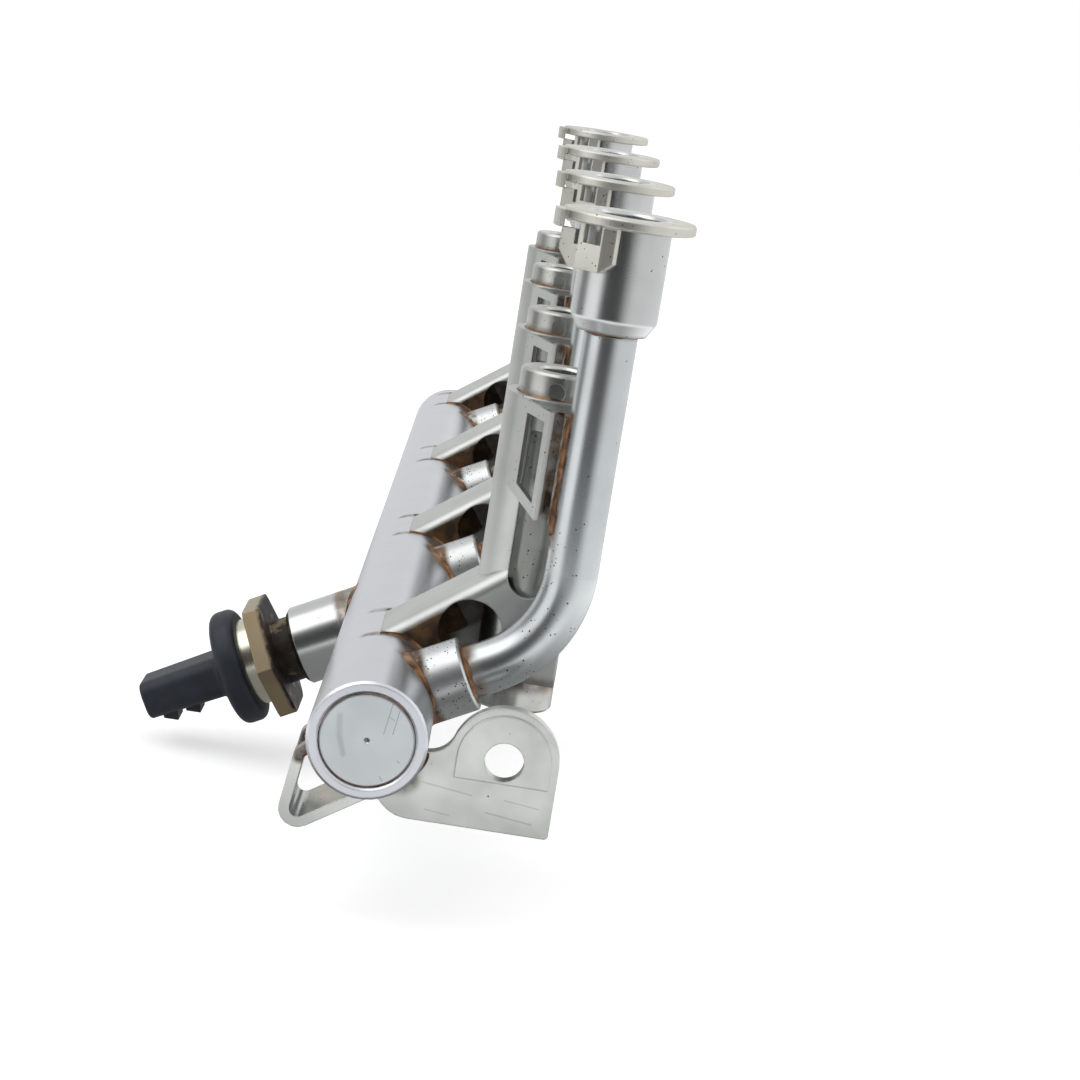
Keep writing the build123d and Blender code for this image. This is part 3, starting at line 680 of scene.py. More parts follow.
def uneven(path: np.ndarray, seed: int, amount: float = 0.3) -> np.ndarray:
    """Work out a wandering factor round 1 along a path.

    The factor is 1 plus four sines of rising frequency and falling height, whose phases come from the seed.

    Args:
        path: The parameter along the path, in radians or the like.
        seed: Chooses the phases.
        amount: The largest sine's height.

    Returns:
        The factor at each parameter.
    """
    phases = np.random.default_rng(seed).uniform(0, 2 * np.pi, 4)
    turns = np.array([2, 3, 7, 13])[:, None]
    heights = amount * np.array([1.0, 0.7, 0.45, 0.25])[:, None]
    return 1 + (heights * np.sin(turns * path[None, :] + phases[:, None])).sum(axis=0)


def seam(name: str, wall: np.ndarray, floor: np.ndarray, corner: np.ndarray, closed: bool) -> bpy.types.Object:
    """Build a fillet of braze along a joint.

    At each station the skin is a quadratic curve from the wall's point to the floor's point, pulled three
    quarters of the way into the corner, and the profile closes through a point sunk behind the corner.

    Args:
        name: The piece's name.
        wall: Points where the fillet ends on the wall, N by 3.
        floor: Points where it ends on the floor, N by 3.
        corner: Points of the joint itself, N by 3.
        closed: Whether the joint is a ring.

    Returns:
        The new object.
    """
    q = np.linspace(0, 1, 7)[None, :, None]
    middle = (wall + floor) / 2
    pull = corner * 0.75 + middle * 0.25
    skin = (1 - q) ** 2 * wall[:, None] + 2 * q * (1 - q) * pull[:, None] + q**2 * floor[:, None]
    sunk = corner + (corner - middle) * 0.35
    ring = np.concatenate([skin, sunk[:, None]], axis=1)
    if not closed:
        scale = np.sin(np.linspace(0.12, np.pi - 0.12, len(ring))) ** 0.35
        ring = corner[:, None] + (ring - corner[:, None]) * scale[:, None, None]
    rows, columns = ring.shape[:2]
    return lay_mesh(name, ring.reshape(-1, 3), grid_faces(rows, columns, closed, True))


def saddle_seam(
    name: str, foot: Row, way: Row, radius: float, height: float, width: float, seed: int
) -> bpy.types.Object:
    """Build the braze where a round boss stands square on the rail.

    The joint is where a cylinder of the boss's radius meets the rail's: at the angle t round the boss, it lies
    the square root of R squared minus (r sin t) squared along the boss from the rail's axis.

    Args:
        name: The piece's name.
        foot: The point of the rail's axis that the boss's axis passes through.
        way: The boss's direction, a unit vector square to Y.
        radius: The boss's radius.
        height: How far the braze climbs the boss.
        width: How far it spreads on the rail.
        seed: Chooses its unevenness.

    Returns:
        The new object.
    """
    t = np.linspace(0, 2 * np.pi, 96, endpoint=False)
    along, side = np.array([0.0, 1.0, 0.0]), np.cross([0.0, 1.0, 0.0], way)
    round_way = np.cos(t)[:, None] * along + np.sin(t)[:, None] * side
    climb = height * uneven(t, seed)
    spread = width * uneven(t, seed + 1)
    level = np.sqrt(Layout.RAIL_R**2 - (radius * np.sin(t)) ** 2)
    far_level = np.sqrt(Layout.RAIL_R**2 - ((radius + spread) * np.sin(t)) ** 2)
    corner = foot + level[:, None] * way + radius * round_way
    wall = foot + (level + climb)[:, None] * way + radius * round_way
    floor = foot + far_level[:, None] * way + (radius + spread)[:, None] * round_way
    return seam(name, wall, floor, corner, True)


def ring_seam(
    name: str,
    centre: Row,
    way: Row,
    inner: float,
    height: float,
    width: float,
    seed: int,
    span: tuple[float, float] = (0.0, 360.0),
) -> bpy.types.Object:
    """Build the braze where a rod comes out of a flat ring face.

    At the angle t round the rod, the fillet climbs the rod by its height and spreads on the face by its width.

    Args:
        name: The piece's name.
        centre: The rod's axis at the face.
        way: The direction in which the rod comes out, a unit vector.
        inner: The rod's radius.
        height: How far the braze climbs the rod.
        width: How far it spreads on the face.
        seed: Chooses its unevenness.
        span: Angles between which it runs, from the side direction, in degrees.

    Returns:
        The new object.
    """
    whole = span[1] - span[0] >= 360
    t = np.radians(np.linspace(span[0], span[1], 96, endpoint=not whole))
    start = np.array([1.0, 0.0, 0.0]) if abs(way[2]) > 0.9 else np.array([0.0, 1.0, 0.0])
    side = np.cross([0.0, 0.0, 1.0], start) if abs(way[2]) > 0.9 else np.cross(way, start)
    round_way = np.cos(t)[:, None] * start + np.sin(t)[:, None] * side
    climb = height * uneven(t, seed)
    spread = width * uneven(t, seed + 1, 0.2)
    corner = centre + inner * round_way
    wall = corner + climb[:, None] * way
    floor = centre + (inner + spread)[:, None] * round_way
    return seam(name, wall, floor, corner, whole)


def plate_seam(
    name: str, face_y: float, side: int, span: tuple[float, float], height: float, width: float, seed: int
) -> bpy.types.Object:
    """Build the braze where the face of a plate across the rail stands on the tube.

    At the angle t round the rail, the fillet climbs the plate outwards by its height and spreads along the
    tube by its width.

    Args:
        name: The piece's name.
        face_y: The Y of the plate's face.
        side: 1 where the face looks to +Y, or -1.
        span: Angles round the rail from +X towards +Z between which it runs, in degrees.
        height: How far the braze climbs the plate.
        width: How far it spreads on the tube.
        seed: Chooses its unevenness.

    Returns:
        The new object.
    """
    t = np.radians(np.linspace(span[0], span[1], 64))
    out = np.stack([np.cos(t), 0 * t, np.sin(t)], axis=1)
    climb = (height * uneven(t, seed))[:, None]
    spread = (width * uneven(t, seed + 1))[:, None]
    corner = Layout.rail_point(face_y) + Layout.RAIL_R * out
    floor = corner + side * spread * np.array([0.0, 1.0, 0.0])
    return seam(name, corner + climb * out, floor, corner, False)


def run_seam(
    name: str, start: Row, end: Row, wall_way: Row, floor_way: Row, height: float, width: float, seed: int
) -> bpy.types.Object:
    """Build the braze along a straight joint.

    Args:
        name: The piece's name.
        start: The joint's first point.
        end: Its last point.
        wall_way: Direction in which the fillet climbs the wall, a unit vector.
        floor_way: Direction in which it spreads on the floor, a unit vector.
        height: How far it climbs.
        width: How far it spreads.
        seed: Chooses its unevenness.

    Returns:
        The new object.
    """
    t = np.linspace(0, 1, 48)
    corner = start + t[:, None] * (end - start)
    climb = (height * uneven(5 * t, seed))[:, None]
    spread = (width * uneven(5 * t, seed + 1))[:, None]
    return seam(name, corner + climb * wall_way, corner + spread * floor_way, corner, False)


@dataclass
class Bench:
    """What each sub-assembly works with: the CAD nodes, and each finish made once."""

    nodes: dict[str, bpy.types.Object]
    made: dict[str, bpy.types.Material] = field(default_factory=dict)

    def material(self, finish: Any) -> bpy.types.Material:
        """Return the finish's material, made on first use."""
        if finish.name not in self.made:
            self.made[finish.name] = finish.build()
        return self.made[finish.name]

    def dress(self, node: str, finish: Any) -> None:
        """Give a CAD node its finish.

        Args:
            node: The node's name.
            finish: The finish that it gets.
        """
        slots = self.nodes[node].data.materials
        slots.clear()
        slots.append(self.material(finish))
        LOG.info("dressed %s with %s", node, finish.name)

    def add_piece(self, piece: bpy.types.Object, finish: Any) -> None:
        """Finish a new piece and let it ride with the rail.

        Args:
            piece: The new object.
            finish: The finish that it gets.
        """
        piece.data.materials.append(self.material(finish))
        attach(piece, "root")
        LOG.info("added %s with %s", piece.name, finish.name)


BRAZE = BrazeCopper()
TILT = Layout.BRANCH_ANGLE
BRANCH_WAY = np.array([math.cos(math.radians(TILT)), 0.0, math.sin(math.radians(TILT))])
UP = np.array([0.0, 0.0, 1.0])
ALONG = np.array([0.0, 1.0, 0.0])

SENSOR_TILT = Layout.SENSOR_TILT
SENSOR_WAY = -np.array([math.cos(math.radians(SENSOR_TILT)), 0.0, math.sin(math.radians(SENSOR_TILT))])


def on_branch(reach: float) -> Point:
    """Return the point of a unit's branch axis at this distance from the rail's axis."""
    x, _, z = (Layout.rail_point(0.0) + reach * BRANCH_WAY).tolist()
    return (x, Layout.CUP_SHIFT, z)


def on_sensor(reach: float) -> Point:
    """Return the point of the sensor's axis at this distance from the rail's axis."""
    return tuple((Layout.rail_point(Layout.SENSOR_Y) + reach * SENSOR_WAY).tolist())


def on_end(x: float, z: float) -> Point:
    """Return a point of the closed end's face, from the rail's axis."""
    return (Layout.RAIL_X + x, Layout.NEAR_END + 0.2, Layout.RAIL_Z + z)


END_SCRATCHES = (
    Scratch(on_end(3.9, 9.2), on_end(2.8, 1.7), 0.11, 0.55),
    Scratch(on_end(5.2, 7.3), on_end(4.4, 1.9), 0.11, 0.6),
    Scratch(on_end(3.2, 5.1), on_end(4.4, 4.5), 0.1, 0.5),
    Scratch(on_end(-5.4, 3.9), on_end(-5.0, 0.3), 0.8, 0.22),
    Scratch(on_end(-5.0, 0.3), on_end(-3.8, -3.1), 0.7, 0.26),
    Scratch(on_end(3.2, -6.2), on_end(3.7, -6.9), 0.14, 0.6),
    Scratch(on_end(5.9, -2.8), on_end(6.3, -3.1), 0.14, 0.5),
    Scratch(on_end(9.3, -4.4), on_end(9.7, -4.9), 0.16, 0.6),
    Scratch(on_end(7.4, -7.0), on_end(7.9, -7.1), 0.14, 0.6),
)
RAIL_STEEL = SatinSteel(
    "drawn_rail_tube",
    tone="#CED1D7",
    cloud="#C6C8CC",
    cloud_share=0.25,
    grain=Grain.DRAWN_ALONG_Y,
    grain_depth=0.001,
    roughness=0.3,
    pit_share=0.02,
    edge=0.3,
    stains_and_shade=(
        Zone(on_branch(14.0), (14.0, 0.0, 0.0), 7.3, 9.0, 0.9, tilt=TILT),
        Zone((-19.0, -10.0, -56.0), (10.0, 0.3, 6.0), 0.2, 1.9, 0.75),
        Zone((-19.0, 10.0, -56.0), (10.0, 0.3, 6.0), 0.2, 1.9, 0.75),
        Zone((-15.0, -182.7, -72.0), (9.0, 1.4, 8.0), 0.3, 2.2, 0.7, each_unit=False),
    ),
    scratches=END_SCRATCHES,
)
PLUG_STEEL = SatinSteel(
    "turned_end_plug",
    tone="#C4C9CB",
    cloud="#BBC0C3",
    grain=Grain.TURNED_ROUND_Y,
    grain_depth=0.012,
    roughness=0.3,
    pit_share=0.02,
    edge=0.15,
    scratches=END_SCRATCHES,
)
SLEEVE_STEEL = SatinSteel(
    "turned_branch_sleeve",
    grain=Grain.TURNED_ROUND_X,
    tilt=TILT,
    roughness=0.36,
    pit_share=0.9,
    pit_spacing=0.5,
    stains_and_shade=(
        Zone(on_branch(0.0), (10.6, 40.0, 40.0), 0.2, 1.9, 0.95, tilt=TILT),
        Zone(on_branch(25.0), (9.6, 0.0, 0.0), 4.9, 6.0, 0.8, tilt=TILT),
    ),
)
PIPE_STEEL = SatinSteel(
    "drawn_branch_pipe",
    tone="#C2C7C9",
    grain=Grain.DRAWN_ALONG_Z,
    roughness=0.27,
    pit_share=0.05,
    pit_spacing=0.7,
    stains_and_shade=(
        Zone(on_branch(0.0), (18.6, 40.0, 40.0), 0.6, 3.4, 0.9, tilt=TILT),
        Zone((7.0, Layout.CUP_SHIFT, 14.0), (20.0, 20.0, 2.4), 0.4, 1.4, 0.6),
        Zone((2.0, Layout.CUP_SHIFT - 1.2, -17.0), (0.5, 0.6, 12.0), 0.3, 1.5, 0.9),
    ),
    pits=(
        Zone(on_branch(26.0), (6.0, 6.0, 8.0), 1.0, 9.0, 0.75, tilt=TILT),
        Zone((8.5, Layout.CUP_SHIFT, -36.0), (3.5, 8.0, 6.0), 1.0, 12.0, 0.4),
    ),
)
CUP_STEEL = SatinSteel(
    "turned_injector_cup",
    grain=Grain.TURNED_ROUND_Z,
    roughness=0.25,
    pit_share=0.25,
    pit_spacing=0.8,
    edge=0.3,
    stains_and_shade=(Zone((7.0, Layout.CUP_SHIFT, 10.4), (20.0, 20.0, 0.6), 0.2, 0.9, 0.7),),
)
FLANGE_STEEL = SatinSteel(
    "stamped_cup_flange", tone="#D0CFC8", cloud="#B4B2A8", roughness=0.42, pit_share=0.5, pit_spacing=0.6, edge=0.35
)
BOLT_STEEL = SatinSteel(
    "turned_bolt_sleeve",
    tone="#C0C1BD",
    cloud="#A3A49E",
    cloud_share=0.8,
    grain=Grain.TURNED_ROUND_Z,
    roughness=0.27,
    pit_share=0.4,
    pit_spacing=0.7,
    stains_and_shade=(
        Zone((0.0, 0.0, -59.3), (12.0, 12.0, 0.6), 0.3, 3.0, 0.8),
        Zone((0.0, 0.0, -4.6), (12.0, 12.0, 0.1), 0.1, 1.3, 0.45),
    ),
)
BRACKET_STEEL = SatinSteel(
    "folded_bracket_sheet",
    tone="#C3C5C3",
    stain_and_shade_light="#6B5136",
    stain_and_shade_dark="#3A2C1F",
    stain_and_shade_least=0.85,
    roughness=0.42,
    pit_share=0.1,
    edge=0.45,
    stains_and_shade=(
        Zone((-18.0, 0.0, -54.8), (6.0, 30.0, 3.2), 0.4, 1.5, 1.1, tilt=36.3),
        Zone((-13.0, 0.0, -51.1), (5.0, 30.0, 3.2), 0.4, 1.8, 0.7, tilt=36.3),
        Zone((-18.5, 0.0, -62.0), (4.0, 30.0, 6.0), 0.4, 4.0, 1.0),
        Zone((0.0, 0.0, -59.3), (10.0, 12.0, 0.3), 0.3, 2.0, 0.6),
    ),
)
SUPPORT_STEEL = SatinSteel(
    "folded_support_sheet",
    tone="#BFC1BE",
    roughness=0.3,
    pit_share=0.35,
    pit_spacing=0.7,
    edge=0.25,
    stains_and_shade=(Zone((2.0, Layout.CUP_SHIFT + 1.0, -15.0), (1.6, 1.6, 14.0), 0.2, 1.6, 0.95),),
)
EYE_PLATE_STEEL = SatinSteel(
    "stamped_eye_plate",
    tone="#D4D7D3",
    cloud="#C0C3BE",
    cloud_share=0.8,
    roughness=0.32,
    pit_share=0.12,
    edge=0.35,
    stains_and_shade=(Zone((-25.0, -182.7, -64.8), (7.4, 3.0, 7.4), 1.2, 4.0, 0.8, each_unit=False),),
    scratches=(
        Scratch((-2.0, -184.0, -76.4), (6.5, -184.0, -77.4), 0.2, 0.35),
        Scratch((1.0, -184.0, -73.6), (7.5, -184.0, -74.3), 0.16, 0.3),
        Scratch((-14.0, -184.0, -72.5), (-5.0, -184.0, -73.6), 0.25, 0.25),
        Scratch((-13.0, -184.0, -77.5), (-8.5, -184.0, -78.0), 0.2, 0.25),
        Scratch((3.0, -184.0, -68.0), (5.0, -184.0, -70.5), 0.15, 0.3),
    ),
)
LOOP_STEEL = SatinSteel(
    "bent_clip_strip",
    tone="#D3D5D1",
    roughness=0.26,
    pit_share=0.15,
    edge=0.3,
    stains_and_shade=(Zone((-35.5, -178.0, -69.0), (1.2, 9.0, 1.6), 0.3, 1.6, 0.9, each_unit=False),),
)
INLET_STEEL = SatinSteel("turned_inlet", grain=Grain.TURNED_ROUND_Y, roughness=0.24, pit_share=0.05, edge=0.15)
PORT_STEEL = SatinSteel(
    "turned_sensor_port",
    grain=Grain.TURNED_ROUND_X,
    tilt=SENSOR_TILT,
    roughness=0.22,
    pit_share=0.08,
    edge=0.3,
    stains_and_shade=(Zone(on_sensor(0.0), (11.2, 40.0, 40.0), 0.3, 1.8, 0.7, tilt=SENSOR_TILT, each_unit=False),),
)
HEXAGON_BRONZE = SatinSteel(
    "passivated_hexagon",
    tone="#A09076",
    cloud="#857761",
    # Near-black browns for the band next to the port: painted shade where the hexagon meets the port.
    stain_and_shade_light="#3A2F28",
    stain_and_shade_dark="#221C19",
    grain=Grain.TURNED_ROUND_X,
    tilt=SENSOR_TILT,
    roughness=0.32,
    pit_share=0.05,
    edge=0.5,
    # Painted shade: this zone lays a near-black band over the sensor body where the hexagon meets the port.
    stains_and_shade=(Zone(on_sensor(24.6), (2.4, 16.0, 16.0), 0.3, 1.6, 1.4, tilt=SENSOR_TILT, each_unit=False),),
)
COLLAR_METAL = SatinSteel(
    "crimped_collar",
    tone="#CFCDBC",
    cloud="#BBB9A8",
    grain=Grain.TURNED_ROUND_X,
    tilt=SENSOR_TILT,
    roughness=0.22,
    pit_share=0.0,
)
BLADE_METAL = SatinSteel("tinned_blades", tone="#CDB27A", cloud="#B59B66", roughness=0.22, pit_share=0.0, edge=0.1)
CONNECTOR_PLASTIC = MouldedPlastic()
BOARD = BoardLaminate()


@dataclass
class RailBody:
    """The tube with its plugged end and its inlet."""

    plug_radius: float = 8.8
    groove: float = 0.45
    thread_radius: float = 7.0
    thread_depth: float = 0.8
    thread_pitch: float = 1.5
    collar_radius: float = 10.0
    collar_length: float = 4.0
    neck_radius: float = 5.8
    neck_length: float = 3.0
    thread_length: float = 12.0
    bore_radius: float = 2.5
    seat_radius: float = 4.6
    spigot: float = 9.0

    def build(self, bench: Bench) -> None:
        """Dress the tube and its ends, and add the braze ring and the threaded inlet.

        Args:
            bench: The nodes and finishes.
        """
        bench.dress("rail_tube", RAIL_STEEL)
        bench.dress("end_plug", PLUG_STEEL)
        bench.add_piece(self.plug_braze(), BRAZE)
        inlet = self.threaded_inlet()
        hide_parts("inlet_fitting")
        bench.add_piece(inlet, INLET_STEEL)

    def plug_braze(self) -> bpy.types.Object:
        """Build the dark ring of filler in the groove round the plug.

        Its profile spans the groove's two slopes and sags between them, once round the rail's axis.

        Returns:
            The ring.
        """
        t = np.linspace(0, 2 * np.pi, 144, endpoint=False)
        round_way = np.stack([np.cos(t), 0 * t, np.sin(t)], axis=1)
        fill = 0.3 * self.groove * uneven(t, 5)[:, None]
        end = Layout.rail_point(Layout.NEAR_END)
        corner = end + self.plug_radius * round_way + 0.75 * self.groove * ALONG
        outer = end + (self.plug_radius + fill) * round_way + (self.groove - fill) * ALONG
        inner = end + (self.plug_radius - 0.05 - fill) * round_way + (0.2 + self.groove - fill) * ALONG
        return seam("plug_braze_ring", outer, inner, corner + 0.3 * ALONG, True)

    def threaded_inlet(self) -> bpy.types.Object:
        """Build the inlet with its thread.

        A profile of radius against length is turned round the rail's axis. On the nose, the radius falls from
        the crest by a triangle wave of the length less the turn times the pitch, and the wave fades at both ends.

        Returns:
            The turned, threaded piece.
        """
        neck_end = self.collar_length + self.neck_length
        tip = neck_end + self.thread_length
        seat_depth = (self.seat_radius - self.bore_radius) * math.sqrt(3)
        tube_fit = self.plug_radius - 0.05
        lead = 0.8
        steps = np.linspace(neck_end + 0.1, tip - lead, 121)
        outline = [
            (self.bore_radius, -self.spigot),
            (tube_fit - 0.3, -self.spigot),
            (tube_fit, -self.spigot + 0.3),
            (tube_fit, 0.0),
            (self.collar_radius - 0.3, 0.0),
            (self.collar_radius, 0.3),
            (self.collar_radius, self.collar_length - 0.3),
            (self.collar_radius - 0.3, self.collar_length),
            (self.neck_radius, self.collar_length),
            (self.neck_radius, neck_end),
        ]
        start = len(outline)
        outline += [(self.thread_radius, s) for s in steps]
        outline += [
            (self.thread_radius - lead, tip),
            (self.seat_radius + 0.2, tip),
            (self.seat_radius, tip - 0.1),
            (self.bore_radius, tip - seat_depth),
        ]
        profile = np.array(outline)
        t = np.linspace(0, 2 * np.pi, 96, endpoint=False)
        radius = np.repeat(profile[None, :, 0], len(t), axis=0)
        phase = (steps[None, :] / self.thread_pitch - t[:, None] / (2 * np.pi)) % 1.0
        wave = np.abs(2 * phase - 1)
        fade = np.clip(np.minimum(steps - steps[0], steps[-1] - steps) / self.thread_pitch, 0, 1)
        radius[:, start : start + len(steps)] -= self.thread_depth * wave * fade[None, :]
        x = Layout.RAIL_X + radius * np.cos(t)[:, None]
        z = Layout.RAIL_Z + radius * np.sin(t)[:, None]
        y = np.broadcast_to(Layout.FAR_END + profile[None, :, 1], radius.shape)
        points = np.stack([x, y, z], axis=-1).reshape(-1, 3)
        piece = lay_mesh("threaded_inlet", points, grid_faces(len(t), len(profile), True, True), smooth=False)
        return piece


@dataclass
class CupFlange:
    """The stamped flange round a cup's mouth, with a folded box for the injector's clip and a lip."""

    rim_z: float = 32.6
    inner_radius: float = 8.03
    outer_radius: float = 12.2
    thickness: float = 2.0
    edge: float = 0.35
    box_angle: float = 233.0
    box_sheet: float = 1.2
    box_height: float = 8.2
    face_radius: float = 11.2
    face_width: float = 5.2
    wing_ends: tuple[float, float] = (-7.0, 4.8)
    wing_cuts: tuple[float, float] = (-4.2, 2.9)
    wing_radii: tuple[float, float] = (10.6, 10.1)
    slot_width: float = 3.8
    slot_height: float = 3.4
    slot_shift: float = 0.4
    slit_width: float = 0.9
    slit_depth: float = 4.0
    wing_gap: float = 1.4
    lip_angle: float = 190.0
    lip_radius: float = 13.6
    lip_half_turn: float = 12.7
    lip_sheet: float = 1.0
    lip_drop: float = 1.5

    def build(self, name: str, y: float) -> bpy.types.Object:
        """Build the flange of the cup at this Y.

        Args:
            name: The piece's name.
            y: The cup's Y.

        Returns:
            The piece.
        """
        ring = lathe_form(
            np.array(
                [
                    (self.inner_radius, -self.thickness),
                    (self.outer_radius - self.edge, -self.thickness),
                    (self.outer_radius, self.edge - self.thickness),
                    (self.outer_radius, -self.edge),
                    (self.outer_radius - self.edge, 0.0),
                    (self.inner_radius, 0.0),
                ]
            )
        )
        whole = joined([ring, self.clip_box(), self.lip()])
        return lay_mesh(name, *placed(whole, np.array([Layout.CUP_X, y, self.rim_z]), np.eye(3)), smooth=False)

    def clip_box(self) -> Form:
        """Build the folded box: a slotted face between two wings, of which one hangs free behind a slit.

        Across the box, the sheet lies at the face's radius and then falls to the wings' radius. Its foot rises
        by as much as a place lies beyond where the chamfer starts.

        Returns:
            The box, in the flange's frame.
        """
        face = self.face_width / 2
        slot = (self.slot_shift - self.slot_width / 2, self.slot_shift + self.slot_width / 2)
        (left, right), (left_cut, right_cut) = self.wing_ends, self.wing_cuts
        across = np.array([left, left_cut, -face - self.slit_width, -face, *slot, face, right_cut, right])[:, None]
        drops = np.array([self.slit_depth, self.slot_height, self.wing_gap, 0.0, -self.thickness / 2])
        foot = np.maximum(0.0, np.maximum(left_cut - across, across - right_cut)) - self.thickness - self.box_height
        level = np.concatenate([foot, np.broadcast_to(-self.thickness - drops, (len(across), len(drops)))], axis=1)
        ends, radii = self.wing_radii, self.face_radius
        bend = np.interp(across, [left, -face, face, right], [ends[0], radii, radii, ends[1]])
        out = np.broadcast_to(bend, level.shape)
        side = np.broadcast_to(across, level.shape)
        kept = np.full((len(across) - 1, len(drops)), True)
        kept[:2, 3:] = False
        kept[2, 1:] = False
        kept[4, 2:4] = False
        turn = math.radians(self.box_angle)
        axes = np.array([[math.cos(turn), math.sin(turn), 0.0], [-math.sin(turn), math.cos(turn), 0.0], [0.0, 0.0, 1.0]])
        skins = [np.stack([out - depth, side, level], axis=-1) for depth in (0.0, self.box_sheet)]
        return placed(sheet_form(*skins, kept), np.zeros(3), axes)

    def lip(self) -> Form:
        """Build the tab at the flange's edge, whose end is folded down.

        Returns:
            The tab, in the flange's frame.
        """
        t = np.radians(self.lip_angle + np.linspace(-self.lip_half_turn, self.lip_half_turn, 9))[:, None]
        foot = -self.thickness - self.lip_drop
        skins = []
        for depth, top in ((0.0, -self.edge), (self.lip_sheet, -self.thickness)):
            radius = np.array([self.outer_radius - 0.7, self.lip_radius - depth, self.lip_radius - depth])
            level = np.broadcast_to([top, top, foot], (len(t), 3))
            skins.append(np.stack([np.cos(t) * radius, np.sin(t) * radius, level], axis=-1))
        return sheet_form(*skins, np.full((len(t) - 1, 2), True))


@dataclass
class Branch:
    """One unit's sleeve on the rail, bent pipe, injector cup and flange."""

    number: int
    sleeve_radius: float = 7.1
    sleeve_reach: float = 18.4
    cup_foot_z: float = 11.2

    def build(self, bench: Bench) -> None:
        """Dress the branch's nodes and add its braze.

        Args:
            bench: The nodes and finishes.
        """
        n = self.number
        y = Layout.station(n) + Layout.CUP_SHIFT
        bench.dress(f"branch_sleeve_{n}", SLEEVE_STEEL)
        bench.dress(f"branch_pipe_{n}", PIPE_STEEL)
        bench.dress(f"injector_cup_{n}", CUP_STEEL)
        flange = CupFlange().build(f"clip_flange_{n}", y)
        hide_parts(f"cup_flange_{n}")
        bench.add_piece(flange, FLANGE_STEEL)
        foot = Layout.rail_point(y)
        bench.add_piece(
            saddle_seam(f"sleeve_foot_braze_{n}", foot, BRANCH_WAY, self.sleeve_radius, 0.7, 0.9, 10 * n), BRAZE
        )
        mouth = foot + self.sleeve_reach * BRANCH_WAY
        bench.add_piece(
            ring_seam(f"sleeve_mouth_braze_{n}", mouth, BRANCH_WAY, Layout.PIPE_R, 0.7, 0.9, 10 * n + 2), BRAZE
        )
        cup_foot = np.array([Layout.CUP_X, y, self.cup_foot_z])
        bench.add_piece(
            ring_seam(f"cup_foot_braze_{n}", cup_foot, -UP, Layout.PIPE_R, 0.4, 0.9, 10 * n + 4), BRAZE
        )


